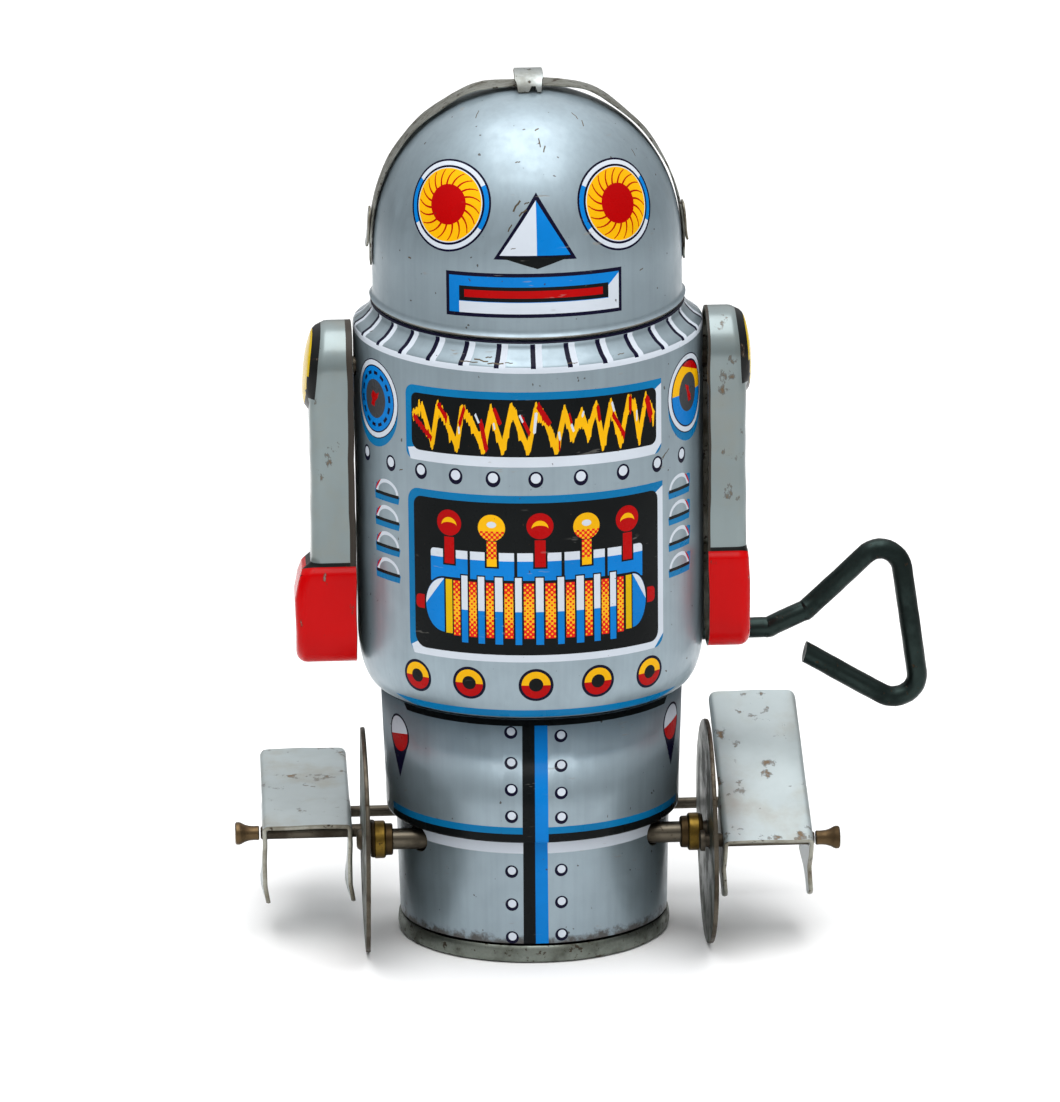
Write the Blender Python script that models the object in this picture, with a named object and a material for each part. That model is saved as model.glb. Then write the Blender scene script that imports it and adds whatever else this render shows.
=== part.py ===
"""A small clockwork tin robot that walks on two cranked feet. Metres, +Z up, front towards -Y.

The origin is the centre of the base's underside. The key sticks out towards +X.
Lengths below are in millimetres and become metres when a mesh is made.
"""

import math

import bmesh
import bpy
from mathutils import Matrix, Vector

for old in list(bpy.data.objects):
    bpy.data.objects.remove(old, do_unlink=True)

MM = 0.001
TIN = 0.4
SEAM = 0.15
RUNNING = 0.06
SHELL_STEPS = 18
ROUND_STEPS = 16
SMALL_STEPS = 12

# Head: a superellipse dome on a short drum.
HEAD_RADIUS = 17.2
HEAD_BOTTOM = 72.5
DOME_START = 79.0
DOME_HEIGHT = 18.35
DOME_POWER = 2.15
DOME_STEPS = 9
BAND_WIDTH = 4.5
BAND_THICK = 0.5
BAND_GAP = 0.15
BAND_END = 77.8
CLIP_WIDTH = 3.5
CLIP_TOP = 99.8
EAR_TAB_TOP = 84.2
EAR_TAB_DROP = 4.4
EAR_TAB_WIDTH = 3.2

# Torso: a drum with a sloping collar and a rounded lower edge.
TORSO_RADIUS = 19.5
COLLAR_TOP = 72.2
COLLAR_RADIUS = 17.25
COLLAR_FOOT = 69.6
COLLAR_HOLE = 14.0
TORSO_WALL_END = 36.0
WAIST = 29.3
WAIST_RADIUS = 17.15

# Lower body: two drums with a step, on a crimped base.
HIP_TOP = 29.0
HIP_RADIUS = 17.0
HIP_FLANGE = 15.6
STEP_TOP = 15.4
STEP_BOTTOM = 14.4
SKIRT_RADIUS = 15.6
SKIRT_FOOT = 2.3
SKIRT_FOOT_RADIUS = 15.3
BASE_RADIUS = 15.6
BASE_RIM = 2.0
BASE_FLOOR = 0.5

# Arms: hollow pressings, open towards the body.
SHOULDER_Y = -2.0
SHOULDER_Z = 66.5
ARM_INNER = 20.1
ARM_OUTER = 24.9
HAND_OUTER = 26.2
ARM_WALL = 0.5
SHOULDER_HALF = 5.1
WRIST_HALF = 3.6
WRIST_DROP = 22.2
HAND_HALF = 4.2
HAND_DROP = 34.0
ARM_FORWARD_DEG = 1.5
SHOULDER_PIN_RADIUS = 1.0

# Walking gear.
AXLE_Y = -7.8
AXLE_Z = 12.75
AXLE_RADIUS = 1.2
AXLE_HALF = 20.4
WHEEL_RADIUS = 12.75
WHEEL_INNER = 19.1
WHEEL_OUTER = 19.9
COLLAR_INNER_END = 16.6
COLLAR_OUTER_END = 18.8
COLLAR_WHEEL_RADIUS = 2.2
CRANK = 3.7
PIN_RADIUS = 0.75
PIN_HEAD_RADIUS = 1.2
PIN_HEAD_INNER = 18.2
PIN_END = 31.2
CAP_END = 34.1
CAP_RADII = (0.8, 1.3)
FOOT_INNER = 21.6
FOOT_OUTER = 31.0
FOOT_TIN = 0.5
FOOT_FRONT = -1.7
FOOT_LENGTH = 25.0
FOOT_TOP = 1.5
FOOT_CORNER = 2.6
LEG_BACK = 6.5
LEG_DROP = 8.9
LEG_CORNER = 3.0
FOOT_PITCH_DEG = {"left": 4.5, "right": 27.0}
ROD_Y = 11.5
ROD_Z = 10.35
ROD_RADIUS = 0.65
ROD_HALF = 30.0

# Winding key and motor.
KEY_Y = 4.0
KEY_Z = 33.4
KEY_WIRE = 1.18
KEY_START = 8.9
KEY_BEND = 2.6
KEY_CORNERS = ((31.0, 33.4), (42.1, 45.0), (45.3, 22.4))
KEY_TIP = (31.6, 30.3)
PLATE_INNER = 6.2
PLATE_OUTER = 7.0
PIVOT_END = 7.3
ARBOR_RADIUS = 1.0
SHAFT_RADIUS = 0.6
PILLAR_RADIUS = 1.0
PILLARS = ((-8.0, 4.5), (8.6, 4.5), (-6.0, 44.0), (10.3, 44.4))
PLATE_OUTLINE = (
    (-10.2, 0.9), (11.0, 0.9), (12.7, 8.0), (12.7, 24.5), (11.6, 28.0),
    (11.6, 46.0), (-8.0, 46.0), (-8.0, 30.0), (-10.2, 22.0),
)
FIRST_MODULE = 0.6
GREAT_TEETH = 36
INTERMEDIATE_PINION_TEETH = 10
SECOND_MODULE = 0.55
INTERMEDIATE_TEETH = 28
DRIVE_TEETH = 12
ESCAPE_PINION_TEETH = 10
ESCAPE_DIRECTION_DEG = 15.0
PRESSURE_DEG = 20.0
WHEEL_ADDENDUM = 0.62
DEDENDUM = 1.2
BACKLASH = 0.16
ESCAPE_TEETH = 12
ESCAPE_RADIUS = 3.1
PALLET_FROM_ESCAPE = (1.0, -5.0)
RATCHET_TEETH = 14
RATCHET_RADIUS = 3.6
SPRING_RADII = (2.4, 7.8)
SPRING_TURNS = 3.4
SPRING_THICK = 0.3
SPRING_X = (-3.6, 2.4)

COLOURS = {
    "printed_tin": ((0.62, 0.64, 0.65), 0.33, 0.75),
    "bare_tin": ((0.35, 0.35, 0.33), 0.45, 0.9),
    "grey_paint": ((0.55, 0.57, 0.56), 0.4, 0.3),
    "steel": ((0.42, 0.42, 0.41), 0.35, 1.0),
    "key_steel": ((0.07, 0.085, 0.08), 0.4, 0.7),
    "brass": ((0.6, 0.43, 0.18), 0.35, 1.0),
    "spring_steel": ((0.2, 0.24, 0.3), 0.3, 1.0),
}


def make_material(name):
    """A plain Principled material with this slot's colour, roughness and metallic value."""
    colour, roughness, metallic = COLOURS[name]
    material = bpy.data.materials.new(name)
    material.use_nodes = True
    shader = material.node_tree.nodes["Principled BSDF"]
    shader.inputs["Base Color"].default_value = (*colour, 1.0)
    shader.inputs["Roughness"].default_value = roughness
    shader.inputs["Metallic"].default_value = metallic
    material.diffuse_color = (*colour, 1.0)
    return material


MATERIALS = {name: make_material(name) for name in COLOURS}


def finish(name, bm, slot, origin=(0.0, 0.0, 0.0), parent=None):
    """Turns a bmesh in millimetres into an object in metres, with its origin on origin."""
    bmesh.ops.recalc_face_normals(bm, faces=bm.faces)
    bm.transform(Matrix.Scale(MM, 4) @ Matrix.Translation(-Vector(origin)))
    mesh = bpy.data.meshes.new(name)
    bm.to_mesh(mesh)
    bm.free()
    mesh.materials.append(MATERIALS[slot])
    mesh.shade_smooth()
    mesh.set_sharp_from_angle(angle=math.radians(35))
    obj = bpy.data.objects.new(name, mesh)
    obj.location = Vector(origin) * MM
    bpy.context.scene.collection.objects.link(obj)
    if parent:
        obj.parent = parent
        obj.location -= parent.location
    return obj


def pivot(name, origin):
    """An empty on a joint's axis, which carries the pieces that turn together."""
    empty = bpy.data.objects.new(name, None)
    empty.location = Vector(origin) * MM
    bpy.context.scene.collection.objects.link(empty)
    return empty


def shape(obj, operation, bm):
    """Joins the bmesh to obj, or cuts it from obj, and keeps the result as obj's mesh."""
    bmesh.ops.recalc_face_normals(bm, faces=bm.faces)
    bm.transform(Matrix.Scale(MM, 4))
    mesh = bpy.data.meshes.new("tool")
    bm.to_mesh(mesh)
    bm.free()
    tool = bpy.data.objects.new("tool", mesh)
    bpy.context.scene.collection.objects.link(tool)
    modifier = obj.modifiers.new(operation.lower(), "BOOLEAN")
    modifier.operation = operation
    modifier.object = tool
    bpy.context.view_layer.update()
    graph = bpy.context.evaluated_depsgraph_get()
    result = bpy.data.meshes.new_from_object(obj.evaluated_get(graph))
    obj.modifiers.clear()
    obj.data = result
    bpy.data.objects.remove(tool, do_unlink=True)


def spun(profile, first_deg, last_deg, steps):
    """Turns a closed profile of (radius, height) about Z; 0 degrees is the front, 90 is +X."""
    bm = bmesh.new()
    whole = last_deg - first_deg >= 360.0
    count = steps if whole else steps + 1
    pole = {}
    rings = []
    for i in range(count):
        angle = math.radians(first_deg + (last_deg - first_deg) * i / steps)
        ring = []
        for j, (radius, height) in enumerate(profile):
            if radius == 0.0 and j in pole:
                ring.append(pole[j])
                continue
            vert = bm.verts.new((radius * math.sin(angle), -radius * math.cos(angle), height))
            if radius == 0.0:
                pole[j] = vert
            ring.append(vert)
        rings.append(ring)
    for i in range(steps):
        low = rings[i]
        high = rings[(i + 1) % count]
        for j in range(len(profile)):
            k = (j + 1) % len(profile)
            corners = []
            for vert in (low[j], low[k], high[k], high[j]):
                if vert not in corners:
                    corners.append(vert)
            if len(corners) > 2:
                bm.faces.new(corners)
    if not whole:
        bm.faces.new(rings[0])
        bm.faces.new(rings[-1])
    return bm


def prism(outline, axis, start, end):
    """Extrudes a 2-D outline along an axis. On X it is (y, z), on Y (x, z) and on Z (x, y)."""
    place = {
        "X": lambda p, t: (t, p[0], p[1]),
        "Y": lambda p, t: (p[0], t, p[1]),
        "Z": lambda p, t: (p[0], p[1], t),
    }[axis]
    bm = bmesh.new()
    low = [bm.verts.new(place(p, start)) for p in outline]
    high = [bm.verts.new(place(p, end)) for p in outline]
    bm.faces.new(low)
    bm.faces.new(list(reversed(high)))
    for i in range(len(outline)):
        j = (i + 1) % len(outline)
        bm.faces.new((low[i], low[j], high[j], high[i]))
    return bm


def circle(centre, radius, steps=ROUND_STEPS, first_deg=0.0, last_deg=360.0):
    """Points on an arc, in the outline's plane; a whole circle doesn't repeat its first point."""
    whole = last_deg - first_deg >= 360.0
    count = steps if whole else steps + 1
    angles = [math.radians(first_deg + (last_deg - first_deg) * i / steps) for i in range(count)]
    return [(centre[0] + radius * math.cos(a), centre[1] + radius * math.sin(a)) for a in angles]


def rod(centre, radius, start, end, steps=ROUND_STEPS):
    """A round bar along X."""
    return prism(circle(centre, radius, steps), "X", start, end)


def turned_along_x(centre, profile, steps=ROUND_STEPS):
    """Turns (x, radius) pairs about an X axis into one closed bar with flat ends."""
    bm = bmesh.new()
    rings = []
    for x, radius in profile:
        rings.append([bm.verts.new((x, y, z)) for y, z in circle(centre, radius, steps)])
    for low, high in zip(rings, rings[1:]):
        for i in range(steps):
            j = (i + 1) % steps
            bm.faces.new((low[i], low[j], high[j], high[i]))
    bm.faces.new(rings[0])
    bm.faces.new(rings[-1])
    return bm


def inset_profile(outer, thickness):
    """Offsets an open profile to its left by the sheet's thickness, with mitred corners."""
    inner = []
    for i, point in enumerate(outer):
        here = Vector(point)
        ways = []
        if i > 0:
            ways.append((here - Vector(outer[i - 1])).normalized())
        if i < len(outer) - 1:
            ways.append((Vector(outer[i + 1]) - here).normalized())
        normals = [Vector((-way.y, way.x)) for way in ways]
        mean = sum(normals, Vector((0.0, 0.0))).normalized()
        inner.append(tuple(here + mean * thickness / mean.dot(normals[0])))
    return inner


def head_radius(height):
    """The dome's outer radius at a height."""
    if height <= DOME_START:
        return HEAD_RADIUS
    rise = min((height - DOME_START) / DOME_HEIGHT, 1.0)
    return HEAD_RADIUS * (1.0 - rise**DOME_POWER) ** (1.0 / DOME_POWER)


def dome_points(offset=0.0):
    """Points up the dome's outer side, from the drum to the top, offset outwards."""
    points = []
    for i in range(DOME_STEPS + 1):
        turn = math.radians(90.0 * i / DOME_STEPS)
        across = math.cos(turn) ** (2.0 / DOME_POWER) if i < DOME_STEPS else 0.0
        up = math.sin(turn) ** (2.0 / DOME_POWER)
        radius = HEAD_RADIUS * across
        height = DOME_START + DOME_HEIGHT * up
        if offset:
            normal = Vector((math.cos(turn) / HEAD_RADIUS, math.sin(turn) / DOME_HEIGHT))
            normal = normal.normalized() * offset
            radius += normal.x
            height += normal.y
        points.append((radius, height))
    return points


def half_shells(name, profile, slot):
    """Front and rear halves of a shell, parted along the seam in the plane Y = 0."""
    made = []
    for half, first, side in (("front", -90.0, -1.0), ("rear", 90.0, 1.0)):
        bm = spun(profile, first, first + 180.0, SHELL_STEPS)
        bm.transform(Matrix.Translation((0.0, side * SEAM, 0.0)))
        made.append(finish(f"{name}_{half}_shell", bm, slot))
    return made


def build_head():
    outer = [(HEAD_RADIUS, HEAD_BOTTOM)] + dome_points()
    inner = [(HEAD_RADIUS - TIN, HEAD_BOTTOM)] + dome_points(-TIN)
    inner[-1] = (0.0, inner[-1][1])
    half_shells("head", outer + list(reversed(inner)), "printed_tin")


def build_band():
    """The arched strip that covers the head's seam, its top clip and its two ear tabs."""
    sides = []
    for offset in (BAND_GAP, BAND_GAP + BAND_THICK):
        right = [(HEAD_RADIUS + offset, BAND_END)] + dome_points(offset)
        left = [(-x, z) for x, z in reversed(right[:-1])]
        sides.append(right + left)
    outline = sides[1] + list(reversed(sides[0]))
    finish("head_band", prism(outline, "Y", -BAND_WIDTH / 2, BAND_WIDTH / 2), "bare_tin")

    band_top = DOME_START + DOME_HEIGHT + BAND_GAP + BAND_THICK
    fold = [(1.3, band_top + 0.45), (-0.2, CLIP_TOP), (-2.7, CLIP_TOP - 1.4), (-3.0, CLIP_TOP - 2.1)]
    outline = fold + list(reversed(inset_profile(fold, TIN)))
    clip = prism(outline, "X", -CLIP_WIDTH / 2, CLIP_WIDTH / 2)
    finish("head_band_clip", clip, "grey_paint")

    for side, name in ((-1.0, "left"), (1.0, "right")):
        start = HEAD_RADIUS + BAND_GAP + BAND_THICK + 0.05
        bend = [(start - 0.2, EAR_TAB_TOP), (start + 0.1, EAR_TAB_TOP - 2.0)]
        bend.append((start + 0.55, EAR_TAB_TOP - EAR_TAB_DROP))
        outline = bend + list(reversed(inset_profile(bend, TIN)))
        outline = [(side * x, z) for x, z in outline]
        tab = prism(outline, "Y", -EAR_TAB_WIDTH / 2, EAR_TAB_WIDTH / 2)
        finish(f"ear_tab_{name}", tab, "bare_tin")


def build_torso():
    outer = [(WAIST_RADIUS, WAIST)]
    for turn_deg in (15.0, 35.0, 60.0):
        turn = math.radians(turn_deg)
        radius = WAIST_RADIUS + (TORSO_RADIUS - WAIST_RADIUS) * math.sin(turn)
        outer.append((radius, TORSO_WALL_END - (TORSO_WALL_END - WAIST) * math.cos(turn)))
    outer += [(TORSO_RADIUS, TORSO_WALL_END), (TORSO_RADIUS, COLLAR_FOOT)]
    outer += [(COLLAR_RADIUS, COLLAR_TOP), (COLLAR_HOLE, COLLAR_TOP)]
    front, rear = half_shells("torso", outer + list(reversed(inset_profile(outer, TIN))), "printed_tin")
    shoulder = (SHOULDER_Y, SHOULDER_Z)
    for side in (-1.0, 1.0):
        shape(front, "DIFFERENCE", rod(shoulder, SHOULDER_PIN_RADIUS + 0.2, side * 15.0, side * 21.0))
    shape(rear, "DIFFERENCE", rod((KEY_Y, KEY_Z), KEY_WIRE + 0.25, 15.0, 21.0))


def build_lower_body():
    outer = [(SKIRT_FOOT_RADIUS, SKIRT_FOOT), (SKIRT_RADIUS, STEP_BOTTOM)]
    outer += [(HIP_RADIUS - 0.3, STEP_TOP), (HIP_RADIUS, HIP_TOP), (HIP_FLANGE, HIP_TOP)]
    front, rear = half_shells("lower_body", outer + list(reversed(inset_profile(outer, TIN))), "printed_tin")
    for side in (-1.0, 1.0):
        hole = rod((AXLE_Y, AXLE_Z), AXLE_RADIUS + 0.3, side * 10.0, side * 18.0)
        shape(front, "DIFFERENCE", hole)
        shape(rear, "DIFFERENCE", rod((ROD_Y, ROD_Z), ROD_RADIUS + 0.25, side * 7.5, side * 14.0))
    wall = BASE_RADIUS - TIN
    cup = [(0.0, 0.0), (BASE_RADIUS, 0.0), (BASE_RADIUS, BASE_RIM), (wall, BASE_RIM)]
    cup += [(wall, BASE_FLOOR), (0.0, BASE_FLOOR)]
    bm = spun(cup, 0.0, 360.0, 2 * SHELL_STEPS)
    bmesh.ops.dissolve_degenerate(bm, dist=1e-6, edges=bm.edges)
    finish("base_plate", bm, "bare_tin")


def arm_outline(inset):
    """The arm seen from its side, about the shoulder: round top, straight taper to the wrist."""
    top = circle((0.0, 0.0), SHOULDER_HALF - inset, SMALL_STEPS, 0.0, 180.0)
    foot = -WRIST_DROP - 0.5
    return top + [(-WRIST_HALF + inset, foot), (WRIST_HALF - inset, foot)]


def hand_outline(inset):
    """The hand seen from its side: a flat wrist edge and a round end."""
    half = HAND_HALF - inset
    end = circle((0.0, HAND_HALF - HAND_DROP), half, SMALL_STEPS, 180.0, 360.0)
    return end + [(half, -WRIST_DROP - inset), (-half, -WRIST_DROP - inset)]


def build_arm(side, name):
    """One arm with its hand, and the pin that it swings on."""
    carrier = pivot(f"arm_{name}_pivot", (0.0, SHOULDER_Y, SHOULDER_Z))

    def block(outline, start, end):
        return prism(outline, "X", side * start, side * end)

    arm = finish(f"arm_{name}", block(arm_outline(0.0), ARM_INNER, ARM_OUTER), "grey_paint")
    shape(arm, "UNION", block(hand_outline(0.0), ARM_INNER, HAND_OUTER))
    shape(arm, "DIFFERENCE", block(arm_outline(ARM_WALL), ARM_INNER - 1.0, ARM_OUTER - ARM_WALL))
    shape(arm, "DIFFERENCE", block(hand_outline(ARM_WALL), ARM_INNER - 1.0, HAND_OUTER - ARM_WALL))
    arm.parent = carrier
    head = (side * 17.6, SHOULDER_PIN_RADIUS + 1.0), (side * 18.2, SHOULDER_PIN_RADIUS + 1.0)
    shank = (side * 18.2, SHOULDER_PIN_RADIUS), (side * (ARM_OUTER - ARM_WALL - 0.2), SHOULDER_PIN_RADIUS)
    pin = finish(f"shoulder_pin_{name}", turned_along_x((0.0, 0.0), head + shank, SMALL_STEPS), "steel")
    pin.parent = carrier
    carrier.rotation_euler = (-math.radians(ARM_FORWARD_DEG), 0.0, 0.0)


def build_wheel(side, name, carrier):
    """A disc wheel on the drive axle, with its brass collar."""
    axle = (AXLE_Y, AXLE_Z)
    crank = (AXLE_Y - side * CRANK, AXLE_Z)
    outline = circle(axle, WHEEL_RADIUS, 2 * SHELL_STEPS, 5.0, 365.0)
    disc = prism(outline, "X", side * WHEEL_INNER, side * WHEEL_OUTER)
    wheel = finish(f"wheel_disc_{name}", disc, "steel")
    for centre, radius in ((axle, AXLE_RADIUS), (crank, PIN_RADIUS)):
        hole = rod(centre, radius + RUNNING, side * (WHEEL_INNER - 1.0), side * (WHEEL_OUTER + 1.0))
        shape(wheel, "DIFFERENCE", hole)
    collar = rod(axle, COLLAR_WHEEL_RADIUS, side * COLLAR_INNER_END, side * COLLAR_OUTER_END)
    ring = finish(f"wheel_collar_{name}", collar, "brass")
    hole = rod(axle, AXLE_RADIUS + RUNNING, side * (COLLAR_INNER_END - 1.0), side * (COLLAR_OUTER_END + 1.0))
    shape(ring, "DIFFERENCE", hole)
    for obj in (wheel, ring):
        obj.parent = carrier
        obj.matrix_parent_inverse = Matrix.Translation(-carrier.location)


def build_foot(side, name):
    """A bent steel foot on its crank pin: a long plate and two round-ended legs."""
    origin = (0.0, AXLE_Y - side * CRANK, AXLE_Z)
    pin_pivot = pivot(f"crank_pin_{name}_pivot", origin)
    profile = [(side * PIN_HEAD_INNER, PIN_HEAD_RADIUS), (side * COLLAR_OUTER_END, PIN_HEAD_RADIUS)]
    profile += [(side * COLLAR_OUTER_END, PIN_RADIUS), (side * PIN_END, PIN_RADIUS)]
    pin = finish(f"crank_pin_{name}", turned_along_x((0.0, 0.0), profile, ROUND_STEPS), "steel")
    cap_profile = ((side * (PIN_END + 0.15), CAP_RADII[0]), (side * (CAP_END - 1.1), CAP_RADII[0] + 0.15))
    cap_profile += ((side * (CAP_END - 0.4), CAP_RADII[1]), (side * CAP_END, CAP_RADII[1]))
    cap = finish(f"pin_cap_{name}", turned_along_x((0.0, 0.0), cap_profile, ROUND_STEPS), "brass")
    for obj in (pin, cap):
        obj.parent = pin_pivot

    foot_pivot = pivot(f"foot_{name}_pivot", origin)
    back = FOOT_FRONT + FOOT_LENGTH
    corner = FOOT_CORNER
    outline = [(FOOT_INNER, FOOT_FRONT), (FOOT_OUTER, FOOT_FRONT)]
    outline += circle((FOOT_OUTER - corner, back - corner), corner, 4, 0.0, 90.0)
    outline += circle((FOOT_INNER + corner, back - corner), corner, 4, 90.0, 180.0)
    outline = [(side * x, y) for x, y in outline]
    foot = finish(f"foot_{name}", prism(outline, "Z", FOOT_TOP - FOOT_TIN, FOOT_TOP), "grey_paint")
    round_end = LEG_CORNER
    leg = [(FOOT_FRONT, FOOT_TOP - 0.1)]
    leg += circle((FOOT_FRONT + round_end, -LEG_DROP + round_end), round_end, 4, 180.0, 270.0)
    leg += circle((LEG_BACK - round_end, -LEG_DROP + round_end), round_end, 4, 270.0, 360.0)
    leg += [(LEG_BACK, FOOT_TOP - 0.1)]
    for start in (FOOT_INNER, FOOT_OUTER - FOOT_TIN):
        shape(foot, "UNION", prism(leg, "X", side * start, side * (start + FOOT_TIN)))
    hole = rod((0.0, 0.0), PIN_RADIUS + RUNNING, side * (FOOT_INNER - 1.0), side * (FOOT_OUTER + 1.0))
    shape(foot, "DIFFERENCE", hole)
    foot.parent = foot_pivot
    foot_pivot.rotation_euler = (math.radians(FOOT_PITCH_DEG[name]), 0.0, 0.0)


def involute(angle):
    return math.tan(angle) - angle


def half_tooth_angle(teeth, module, radius):
    """Half the angle that a tooth fills at a radius; below the base circle the flank is radial."""
    pitch = teeth * module / 2
    base = pitch * math.cos(math.radians(PRESSURE_DEG))
    at_pitch = math.pi / (2 * teeth) - BACKLASH / (2 * pitch)
    turn = math.acos(base / max(radius, base))
    return at_pitch + involute(math.radians(PRESSURE_DEG)) - involute(turn)


def gear_outline(centre, teeth, module, addendum, phase):
    """An involute gear's outline with a tooth's middle at the phase angle."""
    pitch = teeth * module / 2
    radii = (pitch - DEDENDUM * module, pitch, pitch + addendum * module)
    outline = []
    for tooth in range(teeth):
        middle = phase + 2 * math.pi * tooth / teeth
        rising = [(radius, middle - half_tooth_angle(teeth, module, radius)) for radius in radii]
        falling = [(radius, 2 * middle - angle) for radius, angle in reversed(rising)]
        outline += rising + falling
    return [(centre[0] + r * math.cos(a), centre[1] + r * math.sin(a)) for r, a in outline]


def mesh_phase(direction, first_teeth, first_phase, second_teeth):
    """The second gear's phase, so that its gap meets the first gear's tooth on the line of centres."""
    place = (direction - first_phase) * first_teeth / (2 * math.pi)
    return direction + math.pi - 2 * math.pi * (0.5 - place) / second_teeth


def saw_outline(centre, teeth, tip, root):
    """A ratchet or escape wheel: one steep and one sloping side for each tooth."""
    outline = []
    for tooth in range(teeth):
        angle = 2 * math.pi * tooth / teeth
        outline.append((centre[0] + tip * math.cos(angle), centre[1] + tip * math.sin(angle)))
        angle += 0.25 * math.pi / teeth
        outline.append((centre[0] + root * math.cos(angle), centre[1] + root * math.sin(angle)))
    return outline


def bored(name, outline, slot, span, centre, bore, carrier):
    """A flat toothed wheel with a round hole on its axis."""
    wheel = finish(name, prism(outline, "X", *span), slot)
    shape(wheel, "DIFFERENCE", rod(centre, bore + RUNNING, span[0] - 1.0, span[1] + 1.0, SMALL_STEPS))
    wheel.parent = carrier
    wheel.matrix_parent_inverse = Matrix.Translation(-carrier.location)
    return wheel


def on_carrier(obj, carrier):
    obj.parent = carrier
    obj.matrix_parent_inverse = Matrix.Translation(-carrier.location)
    return obj


def build_key(carrier):
    """The bent-wire key: straight through the torso's side, then round a triangular loop."""
    corners = [Vector(point) for point in ((KEY_START, KEY_Z), *KEY_CORNERS, KEY_TIP)]
    path = [corners[0], (corners[0] + corners[1]) / 2]
    for before, corner, after in zip(corners, corners[1:], corners[2:]):
        back = (before - corner).normalized()
        ahead = (after - corner).normalized()
        half = back.angle(ahead) / 2
        centre = corner + (back + ahead).normalized() * KEY_BEND / math.sin(half)
        start = corner + back * KEY_BEND / math.tan(half)
        end = corner + ahead * KEY_BEND / math.tan(half)
        steps = 3 if half > math.radians(60) else 7
        for i in range(steps + 1):
            way = (start - centre).slerp(end - centre, i / steps)
            path.append(centre + way.normalized() * KEY_BEND)
    path.append(corners[-1])
    curve = bpy.data.curves.new("winding_key", "CURVE")
    curve.dimensions = "3D"
    curve.bevel_depth = KEY_WIRE * MM
    curve.bevel_resolution = 2
    curve.use_fill_caps = True
    spline = curve.splines.new("POLY")
    spline.points.add(len(path) - 1)
    for point, place in zip(spline.points, path):
        point.co = (place.x * MM, 0.0, (place.y - KEY_Z) * MM, 1.0)
    curve.materials.append(MATERIALS["key_steel"])
    key = bpy.data.objects.new("winding_key", curve)
    bpy.context.scene.collection.objects.link(key)
    key.parent = carrier


def build_mainspring():
    """A spiral strip round the arbor, whose outer end runs out to the rear upper pillar."""
    steps = 44
    path = []
    first_deg = 10.0
    for i in range(steps + 1):
        share = i / steps
        radius = SPRING_RADII[0] + (SPRING_RADII[1] - SPRING_RADII[0]) * share
        turn = math.radians(first_deg + 360.0 * SPRING_TURNS * share)
        path.append(Vector((KEY_Y + radius * math.cos(turn), KEY_Z + radius * math.sin(turn))))
    pillar = Vector(PILLARS[2])
    way = (pillar - path[-1]).normalized()
    path.append(pillar - way * (PILLAR_RADIUS + 0.5))
    points = [tuple(point) for point in path]
    outline = points + list(reversed(inset_profile(points, SPRING_THICK)))
    finish("mainspring", prism(outline, "X", *SPRING_X), "spring_steel")


def build_motor_frame(centres):
    """Two side plates with pivot holes, and the four pillars between them."""
    for side, name in ((-1.0, "left"), (1.0, "right")):
        sheet = prism(PLATE_OUTLINE, "X", side * PLATE_INNER, side * PLATE_OUTER)
        plate = finish(f"motor_plate_{name}", sheet, "steel")
        for centre, radius in centres:
            ends = (side * (PLATE_INNER - 1.0), side * (PLATE_OUTER + 1.0))
            hole = rod(centre, radius + RUNNING, *ends, SMALL_STEPS)
            shape(plate, "DIFFERENCE", hole)
    for number, centre in enumerate(PILLARS, 1):
        pillar = rod(centre, PILLAR_RADIUS, 0.2 - PLATE_INNER, PLATE_INNER - 0.2, SMALL_STEPS)
        finish(f"motor_pillar_{number}", pillar, "steel")


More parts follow.
